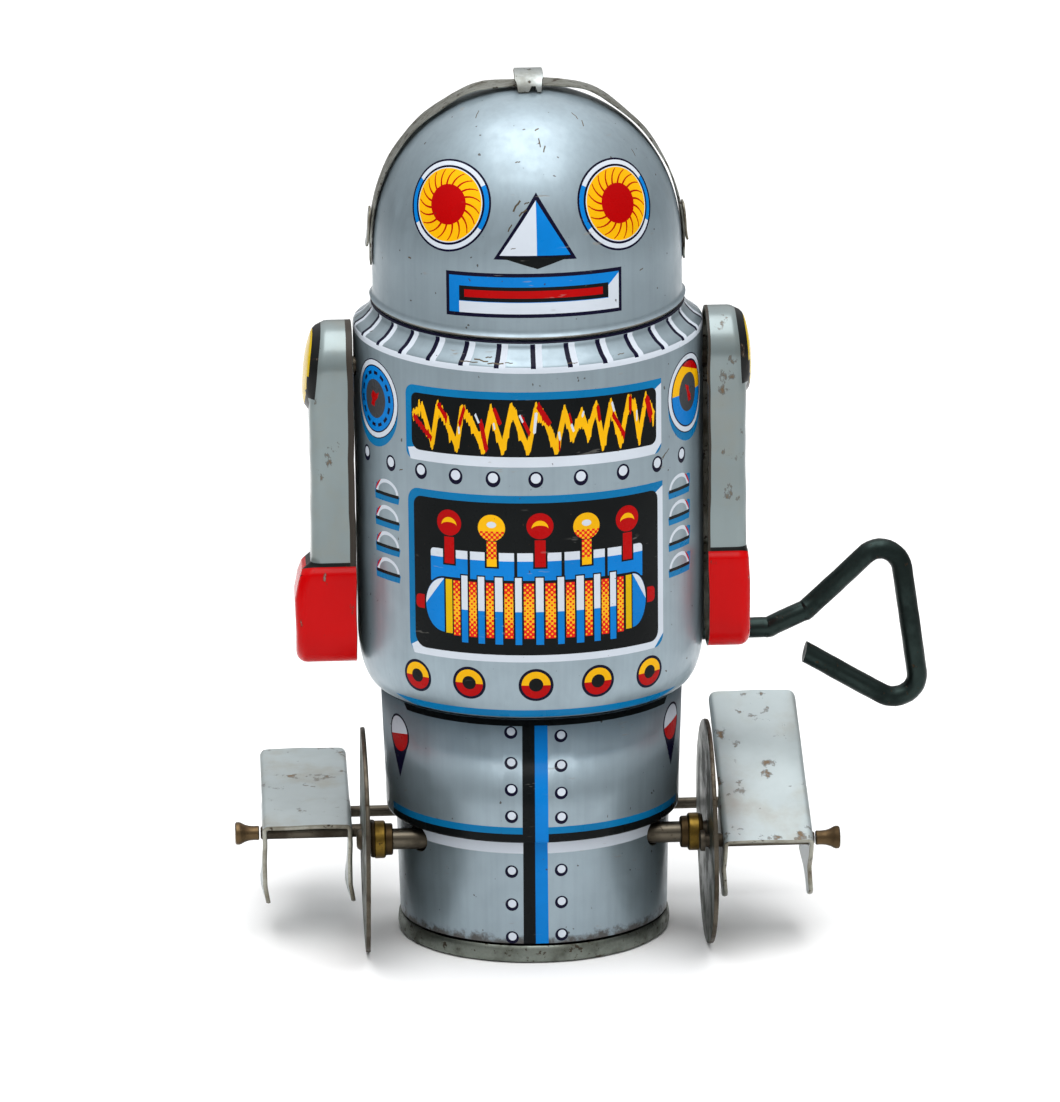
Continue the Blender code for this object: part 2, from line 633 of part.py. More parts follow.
def build_motor(axle_carrier):
    """The gear train from the winding arbor down to the drive axle, and its escapement."""
    arbor = Vector((KEY_Y, KEY_Z))
    axle = Vector((AXLE_Y, AXLE_Z))
    first = FIRST_MODULE * (GREAT_TEETH + INTERMEDIATE_PINION_TEETH) / 2
    second = SECOND_MODULE * (INTERMEDIATE_TEETH + DRIVE_TEETH) / 2
    third = SECOND_MODULE * (INTERMEDIATE_TEETH + ESCAPE_PINION_TEETH) / 2
    apart = (axle - arbor).length
    along = (apart**2 + first**2 - second**2) / (2 * apart)
    aside = math.sqrt(first**2 - along**2)
    way = (axle - arbor).normalized()
    middle = arbor + way * along + Vector((-way.y, way.x)) * aside
    turn = math.radians(ESCAPE_DIRECTION_DEG)
    escape = middle + Vector((math.cos(turn), math.sin(turn))) * third
    pallet = escape + Vector(PALLET_FROM_ESCAPE)

    def direction(start, end):
        return math.atan2(end.y - start.y, end.x - start.x)

    middle_phase = mesh_phase(direction(arbor, middle), GREAT_TEETH, 0.0, INTERMEDIATE_PINION_TEETH)
    drive_phase = mesh_phase(direction(middle, axle), INTERMEDIATE_TEETH, 0.0, DRIVE_TEETH)
    escape_phase = mesh_phase(direction(middle, escape), INTERMEDIATE_TEETH, 0.0, ESCAPE_PINION_TEETH)

    pivots = [(arbor, ARBOR_RADIUS), (axle, AXLE_RADIUS), (middle, SHAFT_RADIUS), (escape, SHAFT_RADIUS)]
    pivots += [(pallet, SHAFT_RADIUS), (Vector((ROD_Y, ROD_Z)), ROD_RADIUS)]
    build_motor_frame(pivots)
    finish("rear_rest_rod", rod((ROD_Y, ROD_Z), ROD_RADIUS, -ROD_HALF, ROD_HALF, SMALL_STEPS), "steel")

    winder = pivot("winder_pivot", (0.0, *arbor))
    build_key(winder)
    shaft = rod(arbor, ARBOR_RADIUS, -PIVOT_END, KEY_START - 0.3, SMALL_STEPS)
    on_carrier(finish("winding_arbor", shaft, "steel"), winder)
    teeth = saw_outline(arbor, RATCHET_TEETH, RATCHET_RADIUS, RATCHET_RADIUS - 0.7)
    bored("ratchet_wheel", teeth, "steel", (3.0, 3.8), arbor, ARBOR_RADIUS, winder)

    great = pivot("great_wheel_pivot", (0.0, *arbor))
    teeth = gear_outline(arbor, GREAT_TEETH, FIRST_MODULE, WHEEL_ADDENDUM, 0.0)
    bored("great_wheel", teeth, "brass", (4.3, 5.3), arbor, ARBOR_RADIUS, great)
    click_centre = arbor + Vector((-6.3, 1.2))
    on_carrier(finish("click_pin", rod(click_centre, 0.5, 2.7, 4.1, SMALL_STEPS), "steel"), great)
    click_pivot = pivot("click_pivot", (0.0, *click_centre))
    nose = arbor + Vector((-0.62, 0.785)) * (RATCHET_RADIUS + 0.35)
    outline = circle(click_centre, 1.2, 8, 150.0, 340.0)
    outline += [tuple(nose + Vector(step)) for step in ((-0.2, -0.5), (0.1, 0.2), (-1.1, 0.9))]
    bored("click", outline, "steel", (3.0, 3.8), click_centre, 0.5, click_pivot)

    intermediate = pivot("intermediate_pivot", (0.0, *middle))
    on_carrier(
        finish("intermediate_shaft", rod(middle, SHAFT_RADIUS, -PIVOT_END, PIVOT_END, SMALL_STEPS), "steel"),
        intermediate,
    )
    teeth = gear_outline(middle, INTERMEDIATE_PINION_TEETH, FIRST_MODULE, 1.0, middle_phase)
    bored("intermediate_pinion", teeth, "brass", (4.0, 5.6), middle, SHAFT_RADIUS, intermediate)
    teeth = gear_outline(middle, INTERMEDIATE_TEETH, SECOND_MODULE, WHEEL_ADDENDUM, 0.0)
    bored("intermediate_wheel", teeth, "brass", (-5.6, -4.8), middle, SHAFT_RADIUS, intermediate)

    teeth = gear_outline(axle, DRIVE_TEETH, SECOND_MODULE, 1.0, drive_phase)
    bored("drive_pinion", teeth, "brass", (-5.9, -4.5), axle, AXLE_RADIUS, axle_carrier)

    escapement = pivot("escape_pivot", (0.0, *escape))
    on_carrier(
        finish("escape_shaft", rod(escape, SHAFT_RADIUS, -PIVOT_END, PIVOT_END, SMALL_STEPS), "steel"),
        escapement,
    )
    teeth = gear_outline(escape, ESCAPE_PINION_TEETH, SECOND_MODULE, 1.0, escape_phase)
    bored("escape_pinion", teeth, "brass", (-5.9, -4.5), escape, SHAFT_RADIUS, escapement)
    teeth = saw_outline(escape, ESCAPE_TEETH, ESCAPE_RADIUS, ESCAPE_RADIUS - 0.9)
    bored("escape_wheel", teeth, "brass", (-0.4, 0.4), escape, SHAFT_RADIUS, escapement)

    rocker = pivot("pallet_pivot", (0.0, *pallet))
    shaft = rod(pallet, SHAFT_RADIUS, -PIVOT_END, PIVOT_END, SMALL_STEPS)
    on_carrier(finish("pallet_arbor", shaft, "steel"), rocker)
    reach = ESCAPE_RADIUS + 0.45
    to_wheel = direction(escape, pallet)
    spread = math.radians(50)
    turns = (to_wheel - spread, to_wheel, to_wheel + spread)
    arc = [escape + Vector((math.cos(a), math.sin(a))) * reach for a in turns]
    away = (pallet - escape).normalized()
    outline = [tuple(arc[0]), tuple(arc[1]), tuple(arc[2]), tuple(arc[2] + away * 0.9)]
    outline += [tuple(pallet + away * 1.2), tuple(arc[0] + away * 0.9)]
    bored("pallet", outline, "steel", (-0.4, 0.4), pallet, SHAFT_RADIUS, rocker)


build_head()
build_band()
build_torso()
build_lower_body()
for arm_side, arm_name in ((-1.0, "left"), (1.0, "right")):
    build_arm(arm_side, arm_name)
drive = pivot("drive_axle_pivot", (0.0, AXLE_Y, AXLE_Z))
ends = ((-AXLE_HALF, AXLE_RADIUS - 0.3), (0.3 - AXLE_HALF, AXLE_RADIUS))
ends += ((AXLE_HALF - 0.3, AXLE_RADIUS), (AXLE_HALF, AXLE_RADIUS - 0.3))
on_carrier(finish("drive_axle", turned_along_x((AXLE_Y, AXLE_Z), ends), "steel"), drive)
for wheel_side, wheel_name in ((-1.0, "left"), (1.0, "right")):
    build_wheel(wheel_side, wheel_name, drive)
    build_foot(wheel_side, wheel_name)
build_mainspring()
build_motor(drive)
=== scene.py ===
import math

import bmesh
import bpy
import numpy as np
from mathutils import Matrix, Vector
from mathutils.geometry import delaunay_2d_cdt


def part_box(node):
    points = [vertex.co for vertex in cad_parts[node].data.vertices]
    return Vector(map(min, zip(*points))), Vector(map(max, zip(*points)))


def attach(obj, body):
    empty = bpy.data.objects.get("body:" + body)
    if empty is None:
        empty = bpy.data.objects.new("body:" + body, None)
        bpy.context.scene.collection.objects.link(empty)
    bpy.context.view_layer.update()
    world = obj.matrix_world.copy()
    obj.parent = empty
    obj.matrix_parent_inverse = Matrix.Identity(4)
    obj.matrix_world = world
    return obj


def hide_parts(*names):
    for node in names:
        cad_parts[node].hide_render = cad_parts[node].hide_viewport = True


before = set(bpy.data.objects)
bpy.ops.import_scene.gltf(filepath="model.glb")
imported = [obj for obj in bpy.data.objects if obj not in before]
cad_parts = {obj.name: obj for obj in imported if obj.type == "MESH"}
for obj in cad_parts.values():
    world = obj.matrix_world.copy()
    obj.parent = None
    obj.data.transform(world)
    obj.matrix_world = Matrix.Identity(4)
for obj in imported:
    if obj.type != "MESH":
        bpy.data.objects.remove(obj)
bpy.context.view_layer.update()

MM = 0.001
TIN = 0.4
SIDES = ((-1.0, "left"), (1.0, "right"))


def low(node):
    """A CAD node's lowest corner in millimetres."""
    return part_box(node)[0] / MM


def high(node):
    """A CAD node's highest corner in millimetres."""
    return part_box(node)[1] / MM


def middle(node):
    """The middle of a CAD node's box in millimetres."""
    return 0.5 * (low(node) + high(node))


# ---------------------------------------------------------------- materials


def set_range(node, *numbers):
    """Sets where a Map Range node starts and ends, and what it gives there."""
    for name, number in zip(("From Min", "From Max", "To Min", "To Max"), numbers):
        node.inputs[name].default_value = number


class Nodes:
    """A material's node tree, with short calls for the nodes that the finishes share."""

    def __init__(self, name):
        self.material = bpy.data.materials.new(name)
        self.material.use_nodes = True
        self.tree = self.material.node_tree
        self.tree.nodes.clear()
        out = self.add("ShaderNodeOutputMaterial")
        self.shader = self.add("ShaderNodeBsdfPrincipled")
        self.link(self.shader.outputs["BSDF"], out.inputs["Surface"])
        self.place = self.add("ShaderNodeTexCoord").outputs["Object"]

    def add(self, kind, **settings):
        node = self.tree.nodes.new(kind)
        for key, value in settings.items():
            setattr(node, key, value)
        return node

    def link(self, source, socket):
        if isinstance(source, bpy.types.NodeSocket):
            self.tree.links.new(source, socket)
        else:
            socket.default_value = source

    def math(self, operation, a, b=0.0):
        node = self.add("ShaderNodeMath", operation=operation)
        self.link(a, node.inputs[0])
        self.link(b, node.inputs[1])
        return node.outputs[0]

    def noise(self, per_mm, detail=3.0, rough=0.55, stretch=(1.0, 1.0, 1.0), seed=0.0):
        """A cloud pattern with about per_mm changes a millimetre, drawn out by stretch."""
        scale = self.add("ShaderNodeMapping")
        self.link(self.place, scale.inputs["Vector"])
        scale.inputs["Scale"].default_value = [s * per_mm / MM for s in stretch]
        scale.inputs["Location"].default_value = (seed, 2.0 * seed, 3.0 * seed)
        node = self.add("ShaderNodeTexNoise")
        self.link(scale.outputs[0], node.inputs["Vector"])
        node.inputs["Scale"].default_value = 1.0
        node.inputs["Detail"].default_value = detail
        node.inputs["Roughness"].default_value = rough
        return node.outputs["Fac"]

    def ramp(self, value, start, end, low_out=0.0, high_out=1.0):
        """Runs smoothly from low_out to high_out as value goes from start to end."""
        node = self.add("ShaderNodeMapRange", interpolation_type="SMOOTHSTEP")
        self.link(value, node.inputs["Value"])
        set_range(node, start, end, low_out, high_out)
        return node.outputs["Result"]

    def mix(self, factor, a, b):
        """Colour a where factor is 0 and b where it is 1."""
        node = self.add("ShaderNodeMix", data_type="RGBA")
        self.link(factor, node.inputs[0])
        self.link(a, node.inputs[6])
        self.link(b, node.inputs[7])
        return node.outputs[2]

    def over(self, tone, mask, strength, colour):
        """Tone with a colour laid over it where mask is 1, at a strength."""
        return self.mix(self.math("MULTIPLY", mask, strength), tone, colour)

    def axes(self):
        """The three sockets of the place on the piece, in metres."""
        split = self.add("ShaderNodeSeparateXYZ")
        self.link(self.place, split.inputs[0])
        return split.outputs

    def fix(self, **numbers):
        """Sets what is the same all over the surface; an underscore stands for a space in a name."""
        for name, number in numbers.items():
            self.shader.inputs[name.replace("_", " ")].default_value = number

    def colour(self, tone):
        self.link(tone, self.shader.inputs["Base Color"])

    def roughness(self, rough):
        self.link(rough, self.shader.inputs["Roughness"])

    def bump(self, height, depth_mm):
        node = self.add("ShaderNodeBump")
        node.inputs["Distance"].default_value = depth_mm * MM
        self.link(height, node.inputs["Height"])
        self.link(node.outputs["Normal"], self.shader.inputs["Normal"])


def rgb(red, green, blue):
    """A linear colour from 0 to 255 display values."""
    out = []
    for value in (red, green, blue):
        c = value / 255.0
        out.append(c / 12.92 if c <= 0.04045 else ((c + 0.055) / 1.055) ** 2.4)
    return (*out, 1.0)


def shade(colour, factor):
    """The colour made darker or lighter by a factor."""
    return (*(min(1.0, c * factor) for c in colour[:3]), 1.0)


BARE = rgb(150, 148, 142)
GRIME = rgb(58, 46, 34)
STAIN = rgb(132, 116, 84)
SCREEN_RED = rgb(214, 24, 10)
SCREEN_PITCH, SCREEN_RADIUS = 0.42, 19.5


def ink(
    name, colour, metallic=0.0, rough=0.3, coat=0.02, vary=0.1, worn=0.0, streaks=0.0, gloss=0.06,
    foot_grime=0.0
):
    """Printed lacquer on tin: faint clouding, fine scuffs down to the tin, and a clear gloss coat."""
    n = Nodes(name)
    cloud = n.ramp(n.noise(0.12, 4.0, seed=1.0), 0.3, 0.7)
    tone = n.mix(cloud, shade(colour, 1.0 - vary), shade(colour, 1.0 + 0.6 * vary))
    if streaks:
        grain = n.ramp(n.noise(1.6, 3.0, stretch=(1.0, 1.0, 0.035), seed=5.0), 0.35, 0.7)
        soft = n.ramp(n.noise(0.3, 2.0, stretch=(1.0, 1.0, 0.08), seed=9.0), 0.35, 0.65)
        tone = n.over(tone, n.math("ADD", grain, soft), 0.5 * streaks, shade(colour, 0.7))
    scratch = n.noise(2.2, 2.0, 0.6, stretch=(0.18, 0.3, 1.0), seed=3.0)
    patch = n.ramp(n.noise(0.16, 2.0, seed=7.0), 0.56, 0.68)
    scuff = n.math("MULTIPLY", n.ramp(scratch, 0.64, 0.7), patch)
    speck = n.ramp(n.noise(1.5, 1.0, seed=11.0), 0.77 - 0.04 * worn, 0.81 - 0.04 * worn)
    tone = n.over(tone, scuff, 0.35 + worn, BARE)
    tone = n.over(tone, speck, 0.8, GRIME)
    if foot_grime:
        height = n.math("DIVIDE", n.axes()[2], MM)
        ragged = n.math("ADD", height, n.math("MULTIPLY", n.noise(0.7, 4.0, 0.65, seed=19.0), -3.4))
        tone = n.mix(n.ramp(ragged, 1.6, 0.6, 0.0, foot_grime), tone, GRIME)
    n.colour(tone)
    sheen = n.ramp(n.noise(0.5, 3.0, seed=13.0), 0.3, 0.75, rough - 0.05, rough + 0.08)
    n.roughness(n.math("ADD", sheen, n.math("MULTIPLY", scuff, 0.25)))
    n.fix(Specular_IOR_Level=gloss, Metallic=metallic, Coat_Weight=coat, Coat_Roughness=0.12)
    n.bump(n.math("ADD", n.noise(0.09, 2.0, seed=17.0), n.math("MULTIPLY", scuff, -0.1)), 0.09)
    return n.material


def halftone(name, paper, dots, centre_z, half, least, most):
    """Two inks: a slanting screen of dots that grow from least at centre_z to most at half away from it."""
    n = Nodes(name)
    place = n.axes()
    x, y, z = (n.math("DIVIDE", place[i], MM) for i in range(3))
    around = n.math("MULTIPLY", n.math("ARCTAN2", x, n.math("MULTIPLY", y, -1.0)), SCREEN_RADIUS)
    turn = math.pi * math.sqrt(2.0) / SCREEN_PITCH
    a = n.math("SINE", n.math("MULTIPLY", n.math("ADD", around, z), turn))
    b = n.math("SINE", n.math("MULTIPLY", n.math("SUBTRACT", around, z), turn))
    away = n.math("ABSOLUTE", n.math("SUBTRACT", z, centre_z))
    growth = n.ramp(away, 0.0, half, least, most)
    level = n.math("ADD", n.math("MULTIPLY", n.math("ADD", a, b), 0.5), growth)
    tone = n.mix(n.ramp(level, -0.12, 0.12), paper, dots)
    n.colour(tone)
    n.roughness(n.ramp(n.noise(0.5, 3.0, seed=13.0), 0.3, 0.75, 0.22, 0.32))
    n.fix(Specular_IOR_Level=0.12)
    n.bump(n.noise(0.09, 2.0, seed=17.0), 0.09)
    return n.material


def metal(name, colour, rough, tarnish, amount=0.5, grain=(1.0, 1.0, 1.0), per_mm=0.8, pits=0.0):
    """Bare metal: drawn grain, cloudy tarnish, and small dark pits."""
    n = Nodes(name)
    cloud = n.ramp(n.noise(0.22, 5.0, 0.62, seed=2.0), 0.38, 0.68, 0.0, amount)
    fine = n.noise(per_mm * 3.0, 3.0, stretch=grain, seed=4.0)
    tone = n.mix(cloud, colour, tarnish)
    tone = n.mix(n.ramp(fine, 0.3, 0.75, 0.0, 0.35), tone, shade(colour, 0.6))
    spot = n.ramp(n.noise(1.1, 3.0, 0.7, seed=6.0), 0.66 - 0.1 * pits, 0.73 - 0.1 * pits)
    n.colour(n.over(tone, spot, 0.85, GRIME))
    n.roughness(n.ramp(cloud, 0.0, amount, rough, rough + 0.25))
    n.fix(Metallic=1.0)
    n.bump(n.math("SUBTRACT", n.math("MULTIPLY", fine, 0.4), spot), 0.03)
    return n.material


def paint(
    name, colour, rough, worn, worn_colour, coat=0.2, vary=0.12, edge_scale=0.5, metallic=0.0, gloss=0.5,
    stain=0.0
):
    """Sprayed paint with orange peel, grimy patches and chips that show the metal."""
    n = Nodes(name)
    cloud = n.ramp(n.noise(0.1, 4.0, seed=21.0), 0.3, 0.7)
    tone = n.mix(cloud, shade(colour, 1.0 - vary), colour)
    drip = n.ramp(n.noise(0.3, 3.0, stretch=(1.0, 1.0, 0.15), seed=22.0), 0.4, 0.75, 0.0, 0.3)
    tone = n.mix(drip, tone, shade(colour, 0.75))
    if stain:
        film = n.ramp(n.noise(0.16, 5.0, 0.6, seed=25.0), 0.45, 0.72, 0.0, stain)
        tone = n.mix(film, tone, STAIN)
    chips = n.noise(edge_scale, 5.0, 0.68, stretch=(1.0, 1.0, 0.6), seed=23.0)
    scuff = n.ramp(chips, 0.62 - worn, 0.68 - worn)
    rim = n.ramp(chips, 0.59 - worn, 0.62 - worn)
    tone = n.over(tone, rim, 0.55, GRIME)
    n.colour(n.mix(scuff, tone, worn_colour))
    n.roughness(n.ramp(scuff, 0.0, 1.0, rough, rough + 0.25))
    n.fix(Metallic=metallic, Specular_IOR_Level=gloss, Coat_Weight=coat, Coat_Roughness=0.15)
    peel = n.noise(1.6, 2.0, seed=24.0)
    n.bump(n.math("SUBTRACT", n.math("MULTIPLY", peel, 0.25), scuff), 0.03)
    return n.material


INKS = {
    "silver": ink(
        "lacquer_silver", rgb(146, 162, 171),
        metallic=0.6, rough=0.43, coat=0.25, vary=0.06, worn=0.3, streaks=0.35, gloss=0.4, foot_grime=0.85,
    ),
    "navy": ink("ink_navy", rgb(14, 12, 38), vary=0.2),
    "black": ink("ink_black", rgb(16, 19, 20), vary=0.2),
    "charcoal": ink("ink_charcoal", rgb(62, 64, 68)),
    "blue": ink("ink_blue", rgb(8, 120, 200)),
    "teal": ink("ink_deep_blue", rgb(10, 112, 166)),
    "white": ink("ink_white", rgb(203, 211, 221), vary=0.05),
    "red": ink("ink_red", rgb(174, 3, 5)),
    "yellow": ink("ink_yellow", rgb(238, 178, 10)),
    "ochre": ink("ink_ochre", rgb(214, 176, 6)),
    "windings": halftone("ink_windings", rgb(238, 176, 22), SCREEN_RED, 42.2, 3.3, -0.42, 0.52),
    "ball_shade": halftone("ink_ball_shade", rgb(236, 178, 16), SCREEN_RED, 54.0, 5.0, 0.05, 0.1),
    "smudge": ink("rubbed_smudge", rgb(92, 82, 66), metallic=0.3, rough=0.5, vary=0.3, worn=0.5),
    "tin": metal("tin_inside", rgb(150, 146, 138), 0.42, rgb(104, 96, 84), 0.6),
}
INK_NAMES = list(INKS)


# ------------------------------------------------------- turned and printed skins

NECK_LIFT = 1.6
SEAM, COLUMN_DEG = 0.06, 4.0
EDGE_BULGE = 0.15


class Outline:
    """The outline that a shell is turned from, as radius and height in millimetres, from bottom to top."""

    def __init__(self, points):
        self.points = np.array(points, float)
        steps = np.linalg.norm(np.diff(self.points, axis=0), axis=1)
        self.s = np.concatenate([[0.0], np.cumsum(steps)])
        tangent = np.gradient(self.points, self.s, axis=0)
        self.normals = np.stack([tangent[:, 1], -tangent[:, 0]], axis=1)
        self.length = self.s[-1]

    def at(self, s):
        """Radius, height and outward normal at lengths s."""
        r, z = (np.interp(s, self.s, self.points[:, i]) for i in range(2))
        normal = np.stack([np.interp(s, self.s, self.normals[:, i]) for i in range(2)], axis=-1)
        return r, z, normal / np.linalg.norm(normal, axis=-1, keepdims=True)

    def radius(self, s):
        return float(np.interp(s, self.s, self.points[:, 0]))

    def up_to(self, z):
        """The length at a height."""
        return float(np.interp(z, self.points[:, 1], self.s))


def arc(centre, radius, start_deg, end_deg, steps=5):
    """Points of a bend in an outline, both ends included."""
    return [
        (centre[0] + radius * math.cos(math.radians(a)), centre[1] + radius * math.sin(math.radians(a)))
        for a in np.linspace(start_deg, end_deg, steps + 1)
    ]


def anticlockwise(points):
    """The same corners, turned round if they run clockwise."""
    ring = np.array(points, float)
    turned = np.roll(ring, -1, axis=0)
    area = (ring[:, 0] * turned[:, 1] - ring[:, 1] * turned[:, 0]).sum()
    return points[::-1] if area < 0.0 else points


def oval(x, z, rx, ry, steps=24):
    """Points round an oval, without its first point again at the end."""
    return [(x + rx * math.cos(a), z + ry * math.sin(a)) for a in np.linspace(0.0, 2.0 * math.pi,
        steps + 1)[:-1]]


class Print:
    """Flat shapes of ink in the order they are printed, as distance round and length up the outline."""

    def __init__(self, outline):
        self.outline = outline
        self.shapes = []

    def add(self, colour, points):
        """Corners as millimetres round and length up the outline, in either order round."""
        self.shapes.append((colour, anticlockwise(points)))

    def stamp(self, x, s, dx, ds):
        """A point dx along and ds up from a centre, leaning halfway to the surface's own meridian."""
        lean = 0.5 * (self.outline.radius(s + ds) / self.outline.radius(s) - 1.0)
        return x * (1.0 + lean) + dx, s + ds

    def poly(self, colour, points):
        """Corners as millimetres round the front and height."""
        self.add(colour, [(x, self.outline.up_to(z)) for x, z in points])

    def disc(self, colour, x, z, rx, ry=None, steps=32, start=0.0, end=360.0):
        """A disc, or its slice from start to end degrees, as round on the surface as a stamp."""
        ry = rx if ry is None else ry
        s = self.outline.up_to(z)
        whole = end - start >= 360.0
        angles = np.radians(np.linspace(start, end, steps + 1))[: steps if whole else steps + 1]
        self.add(colour, [self.stamp(x, s, rx * math.cos(a), ry * math.sin(a)) for a in angles])

    def panel(self, colour, x0, x1, z0, z1, radii=(0.0, 0.0, 0.0, 0.0)):
        """A rounded box; radii run bottom left, bottom right, top right, top left."""
        s0, s1 = self.outline.up_to(z0), self.outline.up_to(z1)
        points = []
        corners = ((x0, s0, 180.0), (x1, s0, 270.0), (x1, s1, 0.0), (x0, s1, 90.0))
        for (x, s, start), radius in zip(corners, radii):
            if not radius:
                points.append((x, s))
                continue
            cx = x + radius * (1 if x == x0 else -1)
            cs = s + radius * (1 if s == s0 else -1)
            for a in np.radians(np.linspace(start, start + 90.0, 6)):
                points.append((cx + radius * math.cos(a), cs + radius * math.sin(a)))
        self.add(colour, points)

    def sector(self, colour, x, z, inner, outer, start, end, steps=6):
        """A piece of a ring."""
        s = self.outline.up_to(z)
        angles = np.radians(np.linspace(start, end, steps + 1))
        far = [self.stamp(x, s, outer * math.cos(a), outer * math.sin(a)) for a in angles]
        near = [self.stamp(x, s, inner * math.cos(a), inner * math.sin(a)) for a in angles]
        self.add(colour, far + near[::-1])

    def stroke(self, colour, points, half):
        """A line of one width through points given as millimetres round and height."""
        for (xa, za), (xb, zb) in zip(points, points[1:]):
            a = Vector((xa, self.outline.up_to(za)))
            b = Vector((xb, self.outline.up_to(zb)))
            side = (b - a).normalized().orthogonal() * half
            along = (b - a).normalized() * (0.5 * half)
            corners = (a - along + side, a - along - side, b + along - side, b + along + side)
            self.add(colour, [tuple(p) for p in corners])


def turned_skin(name, art, rear, holes=(), lifted=None):
    """Half a turned tin shell with its printing: an outer skin cut along every ink edge, and an inner skin.
    Every shape's distance round is measured on the surface at its own height. Where lifted is true of a
    height, the metal stands higher at the sides and the rear than at the front."""
    outline = art.outline
    reference = float(outline.points[:, 0].max())
    half_turn = 0.5 * math.pi * reference
    verts, edges, polygons = [], [], []

    def point(x, s):
        verts.append(Vector((max(-half_turn, min(half_turn, x)), max(0.0, min(outline.length, s)))))
        return len(verts) - 1

    for s in outline.s:
        edges.append((point(-half_turn, s), point(half_turn, s)))
    count = round(180.0 / COLUMN_DEG)
    for i in range(count + 1):
        x = half_turn * (2.0 * i / count - 1.0)
        edges.append((point(x, 0.0), point(x, outline.length)))
    for _, shape in [*art.shapes, *(("hole", h) for h in holes)]:
        ids = []
        for x, s in shape:
            ids.append(point(x * reference / outline.radius(s), s))
        polygons.append(ids)
    result = delaunay_2d_cdt(verts, edges, polygons, 0, 1e-6, True)
    flat, faces, inside = result[0], result[2], result[5]
    colours = [c for c, _ in art.shapes] + ["hole"] * len(holes)
    xy = np.array([tuple(v) for v in flat])
    r, z, normal = outline.at(xy[:, 1])
    angle = xy[:, 0] / reference * (1.0 - SEAM / half_turn) + (math.pi if rear else 0.0)
    ring = np.stack([np.sin(angle), -np.cos(angle)], axis=1)
    if lifted:
        z = z + NECK_LIFT * (1.0 - np.maximum(0.0, np.cos(angle))) * lifted(z)
    outer = np.concatenate([ring * r[:, None], z[:, None]], axis=1)
    out_normal = np.concatenate([ring * normal[:, :1], normal[:, 1:]], axis=1)
    kept, slots = [], []
    for face, found in zip(faces, inside):
        colour = colours[max(found)] if found else "silver"
        if colour != "hole":
            kept.append(face)
            slots.append(INK_NAMES.index(colour))
    bare = INK_NAMES.index("tin")
    return two_sided(name, outer, out_normal, kept, slots, TIN, bare, bare, list(INKS.values()))


def opening(art, x, z, rx, ry):
    """A clearance hole in a turned skin."""
    return oval(x, art.outline.up_to(z), rx, ry)


def shell_pair(name, front, rear, front_holes=(), rear_holes=(), lifted=None):
    """The front and rear halves of a printed shell."""
    for end, art, holes in (("front", front, front_holes), ("rear", rear, rear_holes)):
        shell = turned_skin(f"{name}_{end}", art, end == "rear", holes, lifted)
        stands_for(shell, "body", "printed_tin", f"{name}_{end}_shell")


def face_normal(points, face):
    a, b, c, d = (points[face[i % len(face)]] for i in (0, 1, 2, 3))
    return np.cross(c - a, d - b) if len(face) > 3 else np.cross(b - a, c - a)


def unit(vectors):
    return vectors / np.maximum(np.linalg.norm(vectors, axis=-1, keepdims=True), 1e-12)


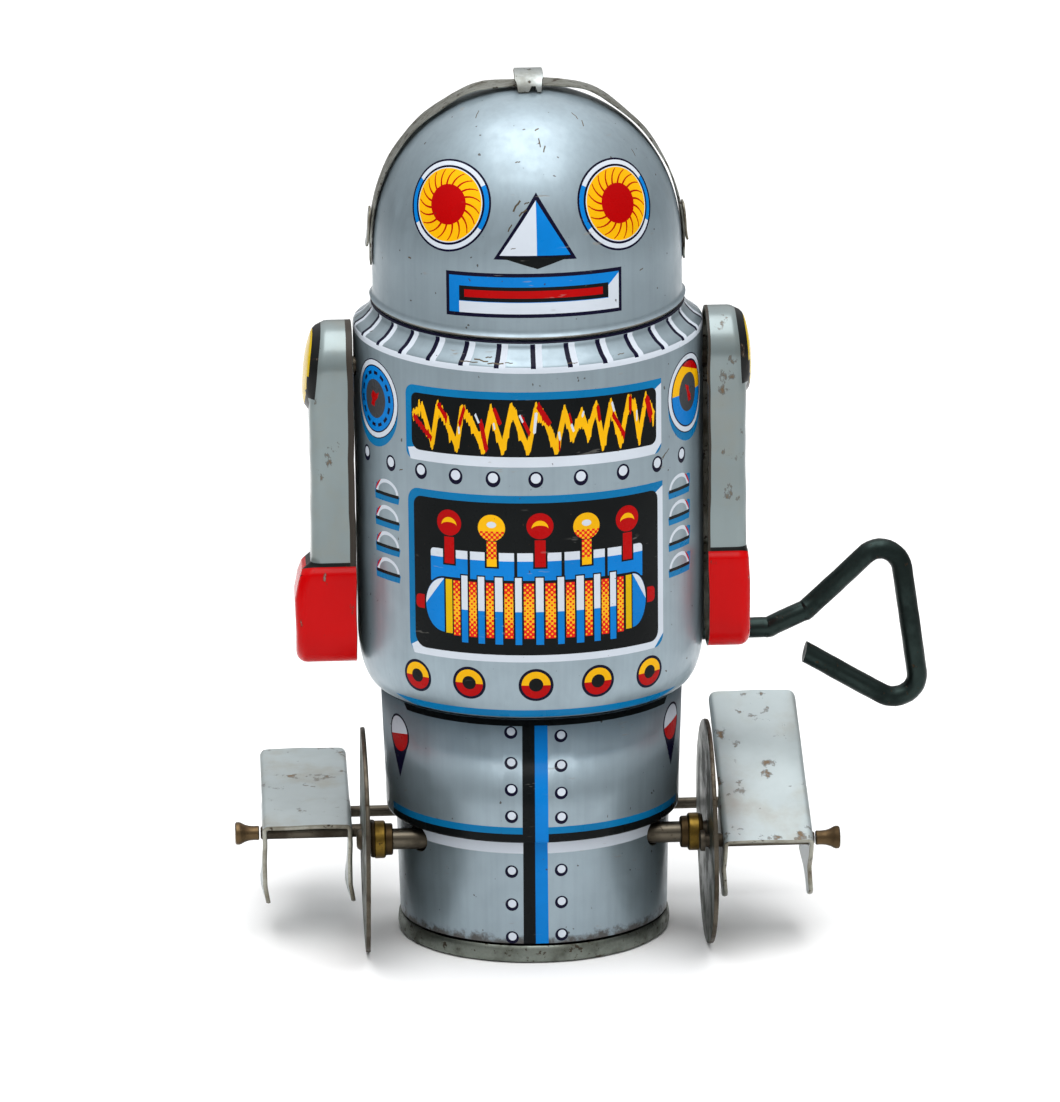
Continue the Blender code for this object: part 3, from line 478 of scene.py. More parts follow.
def two_sided(name, outer, normals, faces, slots, wall, inner_slot, edge_slot, materials):
    """Sheet metal as one closed mesh: an outer skin in millimetres, an inner skin and a rounded cut edge."""
    used = sorted({i for face in faces for i in face})
    renumber = {old: new for new, old in enumerate(used)}
    faces = [[renumber[i] for i in face] for face in faces]
    outer = np.array(outer)[used]
    normals = None if normals is None else normals[used]
    welded, points, place, first = {}, [], [], []
    for i, co in enumerate(outer):
        key = tuple(round(float(c), 5) for c in co)
        if key not in welded:
            welded[key] = len(points)
            points.append(co)
            first.append(i)
        place.append(welded[key])
    points = np.array(points)
    loops = []
    for face, slot in zip(faces, slots):
        loop = [place[i] for i in face]
        if len(set(loop)) == len(loop):
            loops.append((loop, face, slot))
    if normals is None:
        shared = np.zeros_like(points)
        for loop, _, _ in loops:
            shared[loop] += face_normal(points, loop)
        normals = unit(shared)[place]
    agree = sum(float(face_normal(points, loop) @ normals[face[0]]) for loop, face, _ in loops)
    if agree < 0.0:
        loops = [(loop[::-1], face[::-1], slot) for loop, face, slot in loops]
    count = len(points)
    every = np.concatenate([points, points - normals[first] * wall])
    made, chosen, shading, sides = [], [], [], {}
    for loop, face, slot in loops:
        made.append(loop)
        chosen.append(slot)
        shading += [normals[i] for i in face]
        made.append([i + count for i in reversed(loop)])
        chosen.append(inner_slot)
        shading += [-normals[i] for i in reversed(face)]
        for a, b, i, j in zip(loop, [*loop[1:], loop[0]], face, [*face[1:], face[0]]):
            sides[(a, b)] = (i, j)
    rim = {pair: found for pair, found in sides.items() if pair[::-1] not in sides}
    out = {}
    for (a, b), (i, _) in rim.items():
        way = unit(np.cross(every[b] - every[a], normals[i]))
        for end in (a, b):
            out.setdefault(end, []).append(way)
    smooth = {end: unit(sum(ways)) for end, ways in out.items()}
    bulge, extra = {}, []
    for end, way in smooth.items():
        bulge[end] = len(every) + len(extra)
        extra.append(0.5 * (every[end] + every[end + count]) + way * EDGE_BULGE * wall)
    if extra:
        every = np.concatenate([every, extra])
    for (a, b), (i, j) in rim.items():
        own = unit(np.cross(every[b] - every[a], normals[i]))
        ends = []
        for end, n in ((a, normals[i]), (b, normals[j])):
            way = smooth[end] if float(smooth[end] @ own) > 0.8 else own
            ends.append((unit(0.87 * way + 0.5 * n), way, unit(0.87 * way - 0.5 * n)))
        made.append([b, a, bulge[a], bulge[b]])
        shading += [ends[1][0], ends[0][0], ends[0][1], ends[1][1]]
        made.append([bulge[b], bulge[a], a + count, b + count])
        shading += [ends[1][1], ends[0][1], ends[0][2], ends[1][2]]
        chosen += [edge_slot, edge_slot]
    mesh = bpy.data.meshes.new(name)
    mesh.from_pydata([Vector(p) * MM for p in every], [], made)
    for material in materials:
        mesh.materials.append(material)
    mesh.polygons.foreach_set("material_index", chosen)
    mesh.polygons.foreach_set("use_smooth", [True] * len(made))
    mesh.update()
    mesh.normals_split_custom_set([Vector(n) for n in shading])
    return link(name, mesh)


def link(name, data):
    piece = bpy.data.objects.new(name, data)
    bpy.context.scene.collection.objects.link(piece)
    return piece


def stands_for(piece, body, slot, *nodes):
    """The piece rides with a body and stands for its CAD nodes. The slot is not used."""
    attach(piece, body)
    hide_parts(*nodes)
    return piece


# ------------------------------------------------------------------- the head

HEAD_RADIUS = high("head_rear_shell").y
HEAD_TOP = high("head_front_shell").z
NECK = low("head_front_shell").z
DOME_START = 79.0
DOME_POWER = 2.15


def head_outline():
    lip = arc((HEAD_RADIUS + 0.9, NECK + 0.85), 0.9, 235.0, 180.0, 6)
    turns = np.linspace(0.0, 0.5 * math.pi, 44)
    bend = 2.0 / DOME_POWER
    rise = HEAD_TOP - DOME_START
    dome = [(HEAD_RADIUS * math.cos(t) ** bend, DOME_START + rise * math.sin(t) ** bend) for t in turns[:-1]]
    return Outline([*lip, *dome, (0.0, DOME_START + rise)])


def eye(art, x, z):
    for colour, radius in (("navy", 5.2), ("white", 4.96), ("navy", 4.46), ("white", 4.2), ("yellow", 4.1)):
        art.disc(colour, x, z, radius, steps=64)
        if radius == 4.96:
            for start in (-31.0, 150.0):
                art.sector("blue", x, z, 4.3, 4.96, start, start + 61.0, 12)
    s = art.outline.up_to(z)
    rays = 19
    for i in range(rays):
        base = 2.0 * math.pi * (i + 0.35) / rays
        left, right = [], []
        for k in range(6):
            reach = 2.0 + 1.95 * k / 5
            bow = base - 0.024 * k - 0.0075 * k * k
            half = (0.125 - 0.01 * k) / reach
            left.append(art.stamp(x, s, reach * math.cos(bow + half), reach * math.sin(bow + half)))
            right.append(art.stamp(x, s, reach * math.cos(bow - half), reach * math.sin(bow - half)))
        art.add("red", left + right[::-1])
    art.disc("red", x, z, 2.26, steps=40)


def face(art):
    eye(art, -9.95, 86.75)
    eye(art, 10.1, 86.5)
    art.poly("navy", [(-4.6, 81.2), (4.65, 81.1), (0.25, 88.3)])
    art.poly("black", [(-4.1, 81.5), (4.15, 81.45), (0.25, 80.15)])
    art.poly("white", [(-3.92, 81.62), (0.2, 81.62), (0.2, 87.5)])
    art.poly("blue", [(0.2, 81.62), (3.95, 81.58), (0.2, 87.5)])
    art.panel("navy", -10.25, 10.2, 74.72, 79.66)
    art.panel("blue", -9.87, 9.82, 75.14, 79.24)
    art.poly("white", [(-8.65, 75.14), (9.82, 75.12), (9.82, 79.1), (8.45, 77.8), (8.45, 76.4),
        (-8.65, 76.4)])
    art.panel("black", -8.65, 8.45, 76.46, 78.12)
    art.panel("red", -8.03, 7.75, 76.88, 77.72)


def rubs(art, marks):
    """Small marks where the lacquer has rubbed through, as a place, a length, a slant and half a width."""
    for x, z, length, slant, half in marks:
        a = math.radians(slant)
        dx, dz = 0.5 * length * math.cos(a), 0.5 * length * math.sin(a)
        near = (x - 0.3 * dx, z - 0.1 * dz + 0.5 * half)
        far = (x + 0.4 * dx, z + 0.5 * dz - 0.4 * half)
        art.stroke("smudge", [(x - dx, z - dz), near, far, (x + dx, z + dz)], half)


head_front = Print(head_outline())
face(head_front)
rubs(
    head_front,
    [
        (-1.9, 86.9, 1.3, 55.0, 0.1), (-1.25, 86.2, 1.0, 40.0, 0.09), (-2.7, 84.6, 0.8, 60.0, 0.07),
        (-0.8, 87.2, 0.5, 20.0, 0.07), (0.9, 93.1, 0.8, 100.0, 0.06),
        (1.4, 92.5, 0.6, 70.0, 0.07), (0.7, 94.3, 0.4, 30.0, 0.08), (-1.6, 91.3, 0.5, 10.0, 0.06),
        (5.4, 95.2, 0.9, 140.0, 0.05), (6.3, 94.5, 0.5, 100.0, 0.06),
        (-6.2, 95.4, 0.7, 60.0, 0.05), (13.7, 91.0, 0.8, 120.0, 0.05), (13.2, 78.9, 0.5, 20.0, 0.06),
        (-15.5, 80.4, 0.4, 0.0, 0.08), (-2.4, 82.4, 0.5, 10.0, 0.04),
    ],
)
shell_pair("head", head_front, Print(head_front.outline), lifted=lambda z: z < NECK + 0.87)

# ------------------------------------------------------------------ the torso

TORSO_RADIUS = high("torso_rear_shell").y
WAIST = low("torso_front_shell").z
COLLAR_TOP = high("torso_front_shell").z
COLLAR_FOOT = 69.6
COLLAR_RADIUS = 17.25
WALL_END = 36.0
WAIST_RADIUS = 17.15
TICK_DEG = 12.0
WAVE_FOOT, WAVE_TOP = 59.8, 65.85
SHOULDER_Z, SHOULDER_TURN = 66.5, math.radians(84.1)
KEY_Z = 33.4


def torso_outline():
    drop = WALL_END - WAIST
    curve = [
        (WAIST_RADIUS + (TORSO_RADIUS - WAIST_RADIUS) * math.sin(t), WALL_END - drop * math.cos(t))
        for t in np.linspace(0.0, 0.5 * math.pi, 15)
    ]
    slope = math.degrees(math.atan2(COLLAR_TOP - COLLAR_FOOT, TORSO_RADIUS - COLLAR_RADIUS))
    bend = 0.9
    turn = bend * math.tan(math.radians(0.5 * (90.0 - slope)))
    shoulder = arc((TORSO_RADIUS - bend, COLLAR_FOOT - turn), bend, 0.0, 90.0 - slope, 4)
    neck_bend = 0.5
    top = arc((COLLAR_RADIUS, COLLAR_TOP - neck_bend), neck_bend, 90.0 - slope, 90.0, 4)
    cove = [(18.62, 70.35), (18.2, 70.75), (17.85, 71.15), (17.6, 71.5)]
    wall = [(WAIST_RADIUS - 0.1, WAIST - 0.1), *curve, (TORSO_RADIUS, 52.0)]
    return Outline([*wall, *shoulder, *cove, *top, (14.2, COLLAR_TOP)])


def bevelled_panel(art, x0, x1, z0, z1, rim, foot, corner):
    """A dark panel sunk in a drawn frame: deep blue above and at the left, white below and at the right."""
    art.panel("teal", x0 - rim, x1 + rim, z0 - foot, z1 + rim, (corner, corner, 0.0, corner))
    lower = [(x0 - 0.2, z0 - foot), (x1 + rim - corner, z0 - foot), (x1 + rim, z0 - foot + corner)]
    upper = [(x1 + rim, z1 + 0.35 * rim), (x1 - 0.3, z1 - 0.3), (x0 - 0.6, z0 + 0.1)]
    art.poly("white", lower + upper)
    art.panel("black", x0, x1, z0, z1, (corner, 0.8 * corner, 0.7 * corner, 0.7 * corner))


def waveform(art):
    crests = [
        (-14.8, 63.6), (-13.6, 64.5), (-12.3, 60.6), (-11.5, 64.9), (-10.4, 63.2), (-9.2, 60.5),
        (-8.5, 64.9),
        (-7.4, 63.4), (-6.1, 60.4), (-5.2, 64.6), (-3.9, 60.5), (-2.9, 65.1), (-1.1, 60.4), (-0.2, 65.0),
        (1.0, 63.2), (2.0, 60.3), (2.95, 64.6), (3.9, 61.8), (4.9, 64.3), (5.6, 62.0), (6.6, 65.0),
        (7.4, 60.6),
        (8.4, 65.0), (9.6, 60.6), (10.7, 65.3), (11.5, 64.4), (12.1, 60.8), (13.1, 65.0), (14.2, 63.2),
    ]
    bristles(art, "yellow", crests, 0.36, 0.85)
    for x0, z0, x1, z1, half in (
        (-14.7, 63.3, -12.5, 61.2, 0.3), (-11.4, 65.0, -10.5, 63.7, 0.28), (-8.3, 64.8, -8.8, 63.2, 0.24),
        (-6.3, 63.2, -5.8, 60.5, 0.3),
        (-4.8, 64.9, -4.2, 63.4, 0.26), (-1.8, 64.0, -1.0, 62.4, 0.24), (0.1, 65.2, 1.2, 63.4, 0.36),
        (2.35, 61.6, 2.35, 60.5, 0.12),
        (3.5, 64.2, 3.7, 63.4, 0.16), (6.8, 64.8, 7.0, 63.4, 0.24), (8.7, 63.7, 10.0, 61.5, 0.26),
        (10.9, 65.4, 10.9, 64.1, 0.26),
        (13.3, 64.9, 13.8, 63.1, 0.45),
    ):
        bristles(art, "red", [(x0, z0), (x1, z1)], half, 0.35)
    for x0, z0, x1, z1, half in (
        (-6.95, 64.2, -6.6, 63.4, 0.15), (-8.95, 62.7, -8.9, 62.1, 0.13), (-2.0, 64.3, -1.7, 63.6, 0.14),
        (-0.2, 64.5, -0.4, 62.4, 0.2),
        (2.3, 62.3, 2.4, 61.6, 0.16), (3.75, 63.0, 3.95, 62.4, 0.16), (5.1, 64.4, 5.0, 64.0, 0.14),
        (8.55, 65.1, 8.8, 64.2, 0.16),
        (11.8, 63.8, 11.8, 62.8, 0.13), (-4.9, 63.3, -4.8, 62.8, 0.12),
    ):
        bristles(art, "white", [(x0, z0), (x1, z1)], half, 0.1)


def bristles(art, colour, points, half, reach):
    """A ragged brush line: a stroke with short upright tufts along it."""
    art.stroke(colour, points, 0.8 * half)
    for i, ((xa, za), (xb, zb)) in enumerate(zip(points, points[1:])):
        count = max(2, round(math.hypot(xb - xa, zb - za) / 0.45))
        for k in range(count + 1):
            t = k / count
            x, z = xa + (xb - xa) * t, za + (zb - za) * t
            up = half + reach * (0.4 + 0.6 * math.sin(17.0 * x + 5.0 * z) ** 3)
            down = half + reach * (0.6 + 0.9 * math.sin(13.0 * x - 7.0 * z + i) ** 3)
            top, foot = min(WAVE_TOP, z + up), max(WAVE_FOOT, z - down)
            wide = 0.45 * half + 0.06
            below = [(x - wide, z), (x - 0.3 * wide, foot), (x + 0.4 * wide, foot + 0.1)]
            above = [(x + wide, z), (x + 0.3 * wide, top), (x - 0.4 * wide, top - 0.1)]
            art.poly(colour, below + above)


def levers(art):
    """The lower panel: five levers in their boxes over a wound coil."""
    edges = ((-12.7, -8.1), (-7.8, -2.8), (-2.45, 2.45), (2.8, 7.5), (7.85, 12.45))
    centres = (-10.3, -5.3, 0.1, 5.35, 10.4)
    for i, (x0, x1) in enumerate(edges):
        radii = (0.0, 0.0, 0.45 if i == 4 else 0.0, 0.45 if i == 0 else 0.0)
        art.panel("white", x0, x1, 45.0, 48.75, radii)
        art.panel("blue", x0, x1, 45.0, 47.8)
    for i, x in enumerate(centres):
        art.panel("black", x - 0.8, x + 0.8, 46.95, 49.6)
        if i % 2:
            art.panel("yellow", x - 0.56, x + 0.56, 47.15, 50.0)
            art.panel("ball_shade", x - 0.56, x + 0.56, 48.0, 50.0)
            art.disc("yellow", x, 51.55, 1.54, 1.5, 36)
            art.disc("ball_shade", x, 51.55, 1.54, 1.5, 24, 195.0, 345.0)
            art.disc("white", x, 51.9, 0.55, 0.36, 16)
        else:
            art.panel("red", x - 0.6, x + 0.6, 47.15, 50.2)
            art.disc("red", x, 51.8, 1.5, 1.48, 36)
            s = art.outline.up_to(51.45)
            rise = [(x + 0.95 * math.cos(a), s + 0.98 * math.sin(a)) for a in np.radians(np.linspace(8,
                172, 12))]
            fall = [(x + 0.95 * math.cos(a), s + 0.42 * math.sin(a)) for a in np.radians(np.linspace(168,
                12, 12))]
            art.add("yellow", rise + fall)
    art.panel("black", -11.2, 11.2, 38.9, 45.62)
    for side, centre in ((-1.0, -11.0), (1.0, 11.05)):
        start = 90.0 if side < 0 else -90.0
        reach = 2.6 if side < 0 else 2.05
        art.disc("black", centre, 42.35, reach, 3.28, 24, start, start + 180.0)
        art.disc("blue", centre, 42.35, reach - 0.18, 3.08, 24, start, start + 180.0)
        top = start if side < 0 else 0.0
        art.disc("white", centre, 42.3, reach - 0.18, 3.08, 12, top, top + 90.0)
    for x0, x1 in ((-10.8, -10.0), (10.15, 10.9)):
        art.panel("ochre", x0, x1, 39.2, 45.35)
    coils = ((1.2, 1.14), (3.43, 0.99), (5.56, 0.84), (7.52, 0.88), (9.45, 0.8))
    fins = ((0.0, 0.86), (2.36, 0.74), (4.55, 0.86), (6.55, 0.74), (8.5, 0.74))
    for side in (-1.0, 1.0):
        for x, width in coils:
            art.panel("windings", side * x - 0.5 * width, side * x + 0.5 * width, 39.0, 45.3)
        for x, width in fins[0 if side > 0 else 1 :]:
            art.panel("black", side * x - 0.5 * width - 0.14, side * x + 0.5 * width + 0.14, 38.2, 46.1)
            art.panel("white", side * x - 0.5 * width, side * x + 0.5 * width, 42.04, 45.94)
            art.panel("blue", side * x - 0.5 * width, side * x + 0.5 * width, 38.3, 42.04)
    art.panel("red", -14.8, -13.62, 41.6, 43.2, (0.5, 0.0, 0.0, 0.5))
    art.panel("red", 13.15, 14.3, 41.75, 43.5, (0.0, 0.5, 0.5, 0.0))


def dials(art):
    z = 64.15
    for x, side in ((-21.7, -1), (21.2, 1)):
        art.disc("teal", x, z - 1.0, 4.4, steps=40)
        art.disc("navy", x, z, 4.5, steps=48)
        art.disc("white", x, z, 4.37, steps=48)
        art.disc("navy", x, z, 3.82, steps=48)
        if side < 0:
            art.disc("blue", x, z, 3.66, steps=48)
            dashes = 14
            for i in range(dashes):
                a = 360.0 * i / dashes
                art.sector("navy", x, z, 2.78, 3.16, a, a + 15.0, 3)
            art.disc("charcoal", x, z, 2.2, steps=36)
            pointer = [(-1.0, -0.9), (-0.1, -1.1), (0.1, -0.35), (0.75, 0.2), (1.1, 1.0), (0.4, 0.7)]
            pointer += [(-0.5, 1.05), (-1.0, 0.3), (-0.7, -0.2)]
        else:
            art.disc("yellow", x, z, 3.6, steps=48)
            art.disc("red", x, z, 3.6, steps=16, start=35.0, end=115.0)
            art.disc("blue", x, z - 0.05, 3.6, steps=28, start=178.0, end=362.0)
            art.disc("charcoal", x, z + 0.1, 2.2, steps=36)
            pointer = [(0.0, -1.2), (0.8, -1.1), (0.8, -0.3), (0.3, 0.2)]
            pointer += [(0.1, 0.9), (-1.0, 1.3), (-0.6, 0.5), (-0.3, -0.1)]
        art.poly("red", [(x + 0.85 * a, z + 0.85 * b) for a, b in pointer])


def louvres(art):
    for side, centre in ((-1.0, -19.6), (1.0, 19.1)):
        for z in (53.75, 50.75, 47.75, 44.75):
            lower = [(centre - 2.3, z - 0.95), (centre + 2.2, z - 0.95), (centre + 2.4, z - 0.1)]
            upper = [(centre + side * 2.5, z + 1.1), (centre + side * 1.9, z + 1.3), (centre - 2.4, z - 0.1)]
            art.poly("teal", lower + upper)
            art.disc("white", centre, z, 2.2, 1.6, 16, 0.0, 180.0)
            near = 0.0 if side > 0 else 118.0
            art.disc("red", centre, z, 2.2, 1.6, 8, near, near + 62.0)
            art.disc("silver", centre - 0.1 * side, z, 1.72, 1.2, 16, 0.0, 180.0)
            art.panel("black", centre - 2.25, centre + 2.25, z - 0.32, z + 0.06)


def collar_print(art):
    """A white line, upright ticks and a dark line round the sloping collar."""
    band(art, "white", COLLAR_FOOT - 0.62, COLLAR_FOOT + 0.02)
    top, foot = art.outline.up_to(COLLAR_TOP - 0.38), art.outline.up_to(COLLAR_FOOT - 0.1)
    for i in range(-7, 8):
        turn = math.radians(TICK_DEG * i - 1.3)
        for colour, start, wide in (("white", 0.28, 0.72), ("navy", -0.27, 0.55)):
            left, right = [], []
            for s in (foot, 0.5 * (foot + top), top):
                round_front = turn * art.outline.radius(s)
                left.append((round_front + start, s))
                right.append((round_front + start + wide, s))
            art.add(colour, left + right[::-1])
    band(art, "navy", COLLAR_TOP - 0.34, COLLAR_TOP - 0.04)


def band(art, colour, z0, z1, reach=90.0, slant=0.0):
    """A stripe round the shell out to reach degrees each way."""
    s0, s1 = art.outline.up_to(z0), art.outline.up_to(z1)
    outer = math.radians(reach) * art.outline.radius(s1)
    inner = math.radians(reach - slant) * art.outline.radius(s0)
    art.add(colour, [(-inner, s0), (inner, s0), (outer, s1), (-outer, s1)])


torso_front = Print(torso_outline())
collar_print(torso_front)
rubs(
    torso_front,
    [
        (-7.6, 69.95, 1.9, 2.0, 0.08), (-6.2, 70.15, 1.5, -4.0, 0.11), (-4.6, 69.95, 1.7, 3.0, 0.1),
        (-5.3, 70.45, 0.7, 10.0, 0.07), (-3.1, 70.05, 0.8, 0.0, 0.07),
        (3.9, 69.9, 1.1, 0.0, 0.06), (9.8, 70.1, 0.8, 4.0, 0.06), (15.6, 57.7, 1.8, 38.0, 0.05),
        (16.3, 58.1, 1.6, 42.0, 0.05), (-16.9, 56.9, 0.5, 20.0, 0.06),
    ],
)
bevelled_panel(torso_front, -15.15, 14.7, 59.6, 66.05, 0.85, 1.15, 1.1)
waveform(torso_front)
for x in (-23.9, -18.65, -13.9, -9.4, -5.05, -0.3, 4.75, 9.9, 14.85, 19.5):
    rise = 57.06 + 0.5 * (abs(x) / 24.0) ** 2
    torso_front.disc("navy", x, rise, 0.84, 0.92, 24)
    torso_front.disc("white", x, rise + 0.13, 0.56, 0.57, 20)
bevelled_panel(torso_front, -15.0, 14.85, 37.1, 54.4, 0.85, 0.8, 1.5)
levers(torso_front)
dials(torso_front)
louvres(torso_front)
for x in (-14.85, -8.1, -0.5, 6.6, 13.5):
    torso_front.disc("navy", x, 33.6, 1.95, steps=40)
    torso_front.disc("yellow", x, 33.6, 1.62, steps=24, start=0.0, end=180.0)
    torso_front.disc("red", x, 33.6, 1.62, steps=24, start=180.0, end=360.0)
    torso_front.disc("black", x, 33.65, 0.8, steps=24)
band(torso_front, "teal", WAIST + 0.2, WAIST + 1.2, 58.0, 9.0)
torso_rear = Print(torso_front.outline)
collar_print(torso_rear)
shell_pair(
    "torso", torso_front, torso_rear,
    [opening(torso_front, side * SHOULDER_TURN * TORSO_RADIUS, SHOULDER_Z, 1.2, 1.2) for side, _ in SIDES],
    [opening(torso_rear, -26.3, KEY_Z, 1.85, 1.75)],
    lifted=lambda z: z > COLLAR_FOOT - 0.66,
)

# ------------------------------------------------------------- the lower body

HIP_TOP = high("lower_body_front_shell").z
HIP_RADIUS = high("lower_body_rear_shell").y
SKIRT_FOOT = low("lower_body_front_shell").z


def hip_outline():
    step = arc((15.6 + 0.5, 14.9), 0.5, 180.0, 110.0, 4)
    ledge = arc((16.7 - 0.55, 14.95), 0.55, -60.0, 0.0, 4)
    flare = [(16.75, 17.6), (HIP_RADIUS, HIP_TOP), (15.7, HIP_TOP + 0.05)]
    return Outline([(15.3, SKIRT_FOOT), (15.58, 14.2), *step, *ledge, *flare])


def rivet(art, x, z):
    art.disc("navy", x, z, 0.75, steps=24)
    art.disc("white", x + 0.03, z + 0.1, 0.47, steps=20)


hip_front = Print(hip_outline())
band(hip_front, "black", HIP_TOP - 0.75, HIP_TOP, 60.0, 2.0)
band(hip_front, "teal", 15.55, 16.35, 74.0)
band(hip_front, "black", 14.75, 15.55, 74.0)
band(hip_front, "white", 12.95, 14.5, 74.0)
hip_front.panel("blue", -0.62, 0.85, SKIRT_FOOT, HIP_TOP - 0.7)
hip_front.panel("black", -1.98, -0.6, SKIRT_FOOT, HIP_TOP - 0.7)
for left, right in ((27.5, 27.0), (23.9, 23.5), (20.75, 20.3), (17.6, 17.4),
        (10.8, 10.9), (6.9, 7.1), (3.0, 3.25)):
    rivet(hip_front, -3.27, left)
    rivet(hip_front, 2.35, right)
for side, z in ((-1.0, 25.0), (1.0, 25.6)):
    x = side * 19.3
    hip_front.poly("navy", [(x - 1.9, z - 1.2), (x, z - 5.2), (x + 1.9, z - 1.2)])
    hip_front.disc("navy", x, z, 2.25, 2.3, 32)
    hip_front.disc("white", x, z, 1.95, 2.05, 16, 10.0, 190.0)
    hip_front.disc("red", x, z, 1.95, 2.05, 16, 190.0, 370.0)
hip_rear = Print(hip_front.outline)
shell_pair(
    "lower_body", hip_front, hip_rear,
    [opening(hip_front, side * 16.23, 12.75, 1.78, 1.5) for side, _ in SIDES],
    [opening(hip_rear, side * 11.35, 10.35, 1.36, 0.92) for side, _ in SIDES],
)

# --------------------------------------------------------------- shaped pieces

CREASE_DEG = 35.0


def formed(name, section, shape, wall, material, step, place=None, holes=(), warp=None, edge=None):
    """Sheet metal cut to a flat outline and bent along a section. The outline runs along the section and
    across it. The section is x and z in millimetres: the sheet's outer face, the outside on its right."""
    bend = Outline(section)
    verts, edges = [], []
    across = [p[1] for p in shape]

    def point(u, v):
        verts.append(Vector((u, v)))
        return len(verts) - 1

    for u in bend.s:
        edges.append((point(u, min(across) - 0.1), point(u, max(across) + 0.1)))
    rows = max(2, round((max(across) - min(across)) / step))
    for v in np.linspace(min(across), max(across), rows + 1)[1:-1]:
        edges.append((point(-0.1, v), point(bend.length + 0.1, v)))
    polygons = [[point(u, v) for u, v in anticlockwise(outline)] for outline in (shape, *holes)]
    result = delaunay_2d_cdt(verts, edges, polygons, 0, 1e-6, True)
    faces = [face for face, found in zip(result[2], result[5]) if set(found) == {0}]
    flat = np.array([tuple(v) for v in result[0]])
    a, c, normal = bend.at(flat[:, 0])
    points = np.stack([a, flat[:, 1], c], axis=1)
    if warp:
        points = points + np.array([warp(p, q) for p, q in zip(points, flat)])
    normals = np.stack([normal[:, 0], np.zeros(len(flat)), normal[:, 1]], axis=1)
    turn = np.array(place or Matrix.Identity(4))
    points = points @ turn[:3, :3].T + turn[:3, 3]
    normals = normals @ turn[:3, :3].T
    return two_sided(name, points, normals, faces, [0] * len(faces), wall, 0, 1,
        [material, edge or material])


def solid(name, points, faces, materials, slots=None):
    """A closed mesh from corners in millimetres, its faces turned outward."""
    bm = bmesh.new()
    corners = [bm.verts.new(Vector(p) * MM) for p in points]
    for face, slot in zip(faces, slots or [0] * len(faces)):
        made = bm.faces.new([corners[i] for i in face])
        made.smooth = True
        made.material_index = slot
    bmesh.ops.recalc_face_normals(bm, faces=bm.faces)
    mesh = bpy.data.meshes.new(name)
    bm.to_mesh(mesh)
    bm.free()
    for material in materials:
        mesh.materials.append(material)
    mesh.set_sharp_from_angle(angle=math.radians(CREASE_DEG))
    return link(name, mesh)


def lathe(name, profile, materials, centre, axis="X", steps=40, ring=False, wobble=0.0, bands=None):
    """A turned piece. The profile is the place along the axis and the radius; bands gives the material of
    each step along it."""
    points, rows = [], []
    for along, radius in profile:
        row = []
        for i in range(steps if radius > 0.0 else 1):
            a = 2.0 * math.pi * i / steps
            waves = math.sin(5.0 * a + 0.7) + 0.6 * math.sin(13.0 * a) + 0.4 * math.sin(29.0 * a + 2.0)
            r = radius * (1.0 + wobble * waves)
            row.append(len(points))
            if axis == "X":
                points.append((along + centre[0], centre[1] + r * math.cos(a), centre[2] + r * math.sin(a)))
            else:
                points.append((centre[0] + r * math.cos(a), centre[1] + r * math.sin(a), centre[2] + along))
        rows.append(row)
    faces, slots = [], []
    pairs = list(zip(rows, rows[1:])) + ([(rows[-1], rows[0])] if ring else [])
    for k, (low_row, high_row) in enumerate(pairs):
        for i in range(steps):
            j = (i + 1) % steps
            corners = [(low_row, i), (low_row, j), (high_row, j), (high_row, i)]
            face = list(dict.fromkeys(row[at % len(row)] for row, at in corners))
            if len(face) > 2:
                faces.append(face)
                slots.append(bands[k] if bands else 0)
    return solid(name, points, faces, materials, slots=slots)


def swept(name, path, radius, material, steps, lean_at_end):
    """A wire along a path in the XZ plane; the cut at its end leans by millimetres along the wire."""
    points, faces = [], []
    for i, p in enumerate(path):
        way = (path[min(i + 1, len(path) - 1)] - path[max(i - 1, 0)]).normalized()
        side = Vector((way.z, 0.0, -way.x))
        lean = lean_at_end if i == len(path) - 1 else 0.0
        for k in range(steps):
            a = 2.0 * math.pi * k / steps
            dent = 1.0 + 0.012 * math.sin(2.3 * i + 2.0 * a)
            offset = side * math.cos(a) * radius * dent + Vector((0.0, math.sin(a) * radius * dent, 0.0))
            points.append(p + offset + way * lean * math.cos(a))
    for i in range(len(path) - 1):
        for k in range(steps):
            j = (k + 1) % steps
            faces.append([i * steps + k, i * steps + j, (i + 1) * steps + j, (i + 1) * steps + k])
    faces.append(list(range(steps)))
    faces.append([len(points) - steps + k for k in reversed(range(steps))])
    return solid(name, points, faces, [material])


# -------------------------------------------------------------------- finishes

DARK_TIN = metal("dark_tin", rgb(158, 160, 152), 0.42, rgb(78, 74, 64), 0.8, per_mm=1.4, pits=1.0)
EDGE_TIN = metal("worn_edge", rgb(158, 158, 148), 0.38, rgb(104, 90, 66), 0.7, per_mm=1.4, pits=0.6)
BASE_TIN = metal("base_tin", rgb(128, 134, 126), 0.42, rgb(62, 62, 50), 0.8, per_mm=1.2, pits=0.8)
CLIP_TIN = metal("clip_tin", rgb(164, 170, 170), 0.42, rgb(128, 124, 110), 0.6, per_mm=1.0, pits=0.3)
DISC_STEEL = metal("disc_steel", rgb(78, 84, 76), 0.36, rgb(44, 46, 36), 0.75, per_mm=1.0, pits=0.4)
BRIGHT_STEEL = metal("bright_steel", rgb(92, 86, 75), 0.32, rgb(52, 45, 35), 0.75, grain=(0.1, 1.0, 1.0),
    pits=0.2)
PIN_STEEL = metal("pin_steel", rgb(88, 82, 72), 0.42, rgb(52, 44, 34), 0.7, grain=(0.1, 1.0, 1.0), pits=0.4)
KEY_STEEL = metal("key_steel", rgb(42, 52, 50), 0.36, rgb(26, 33, 32), 0.7, grain=(0.3, 1.0, 0.3), pits=0.2)
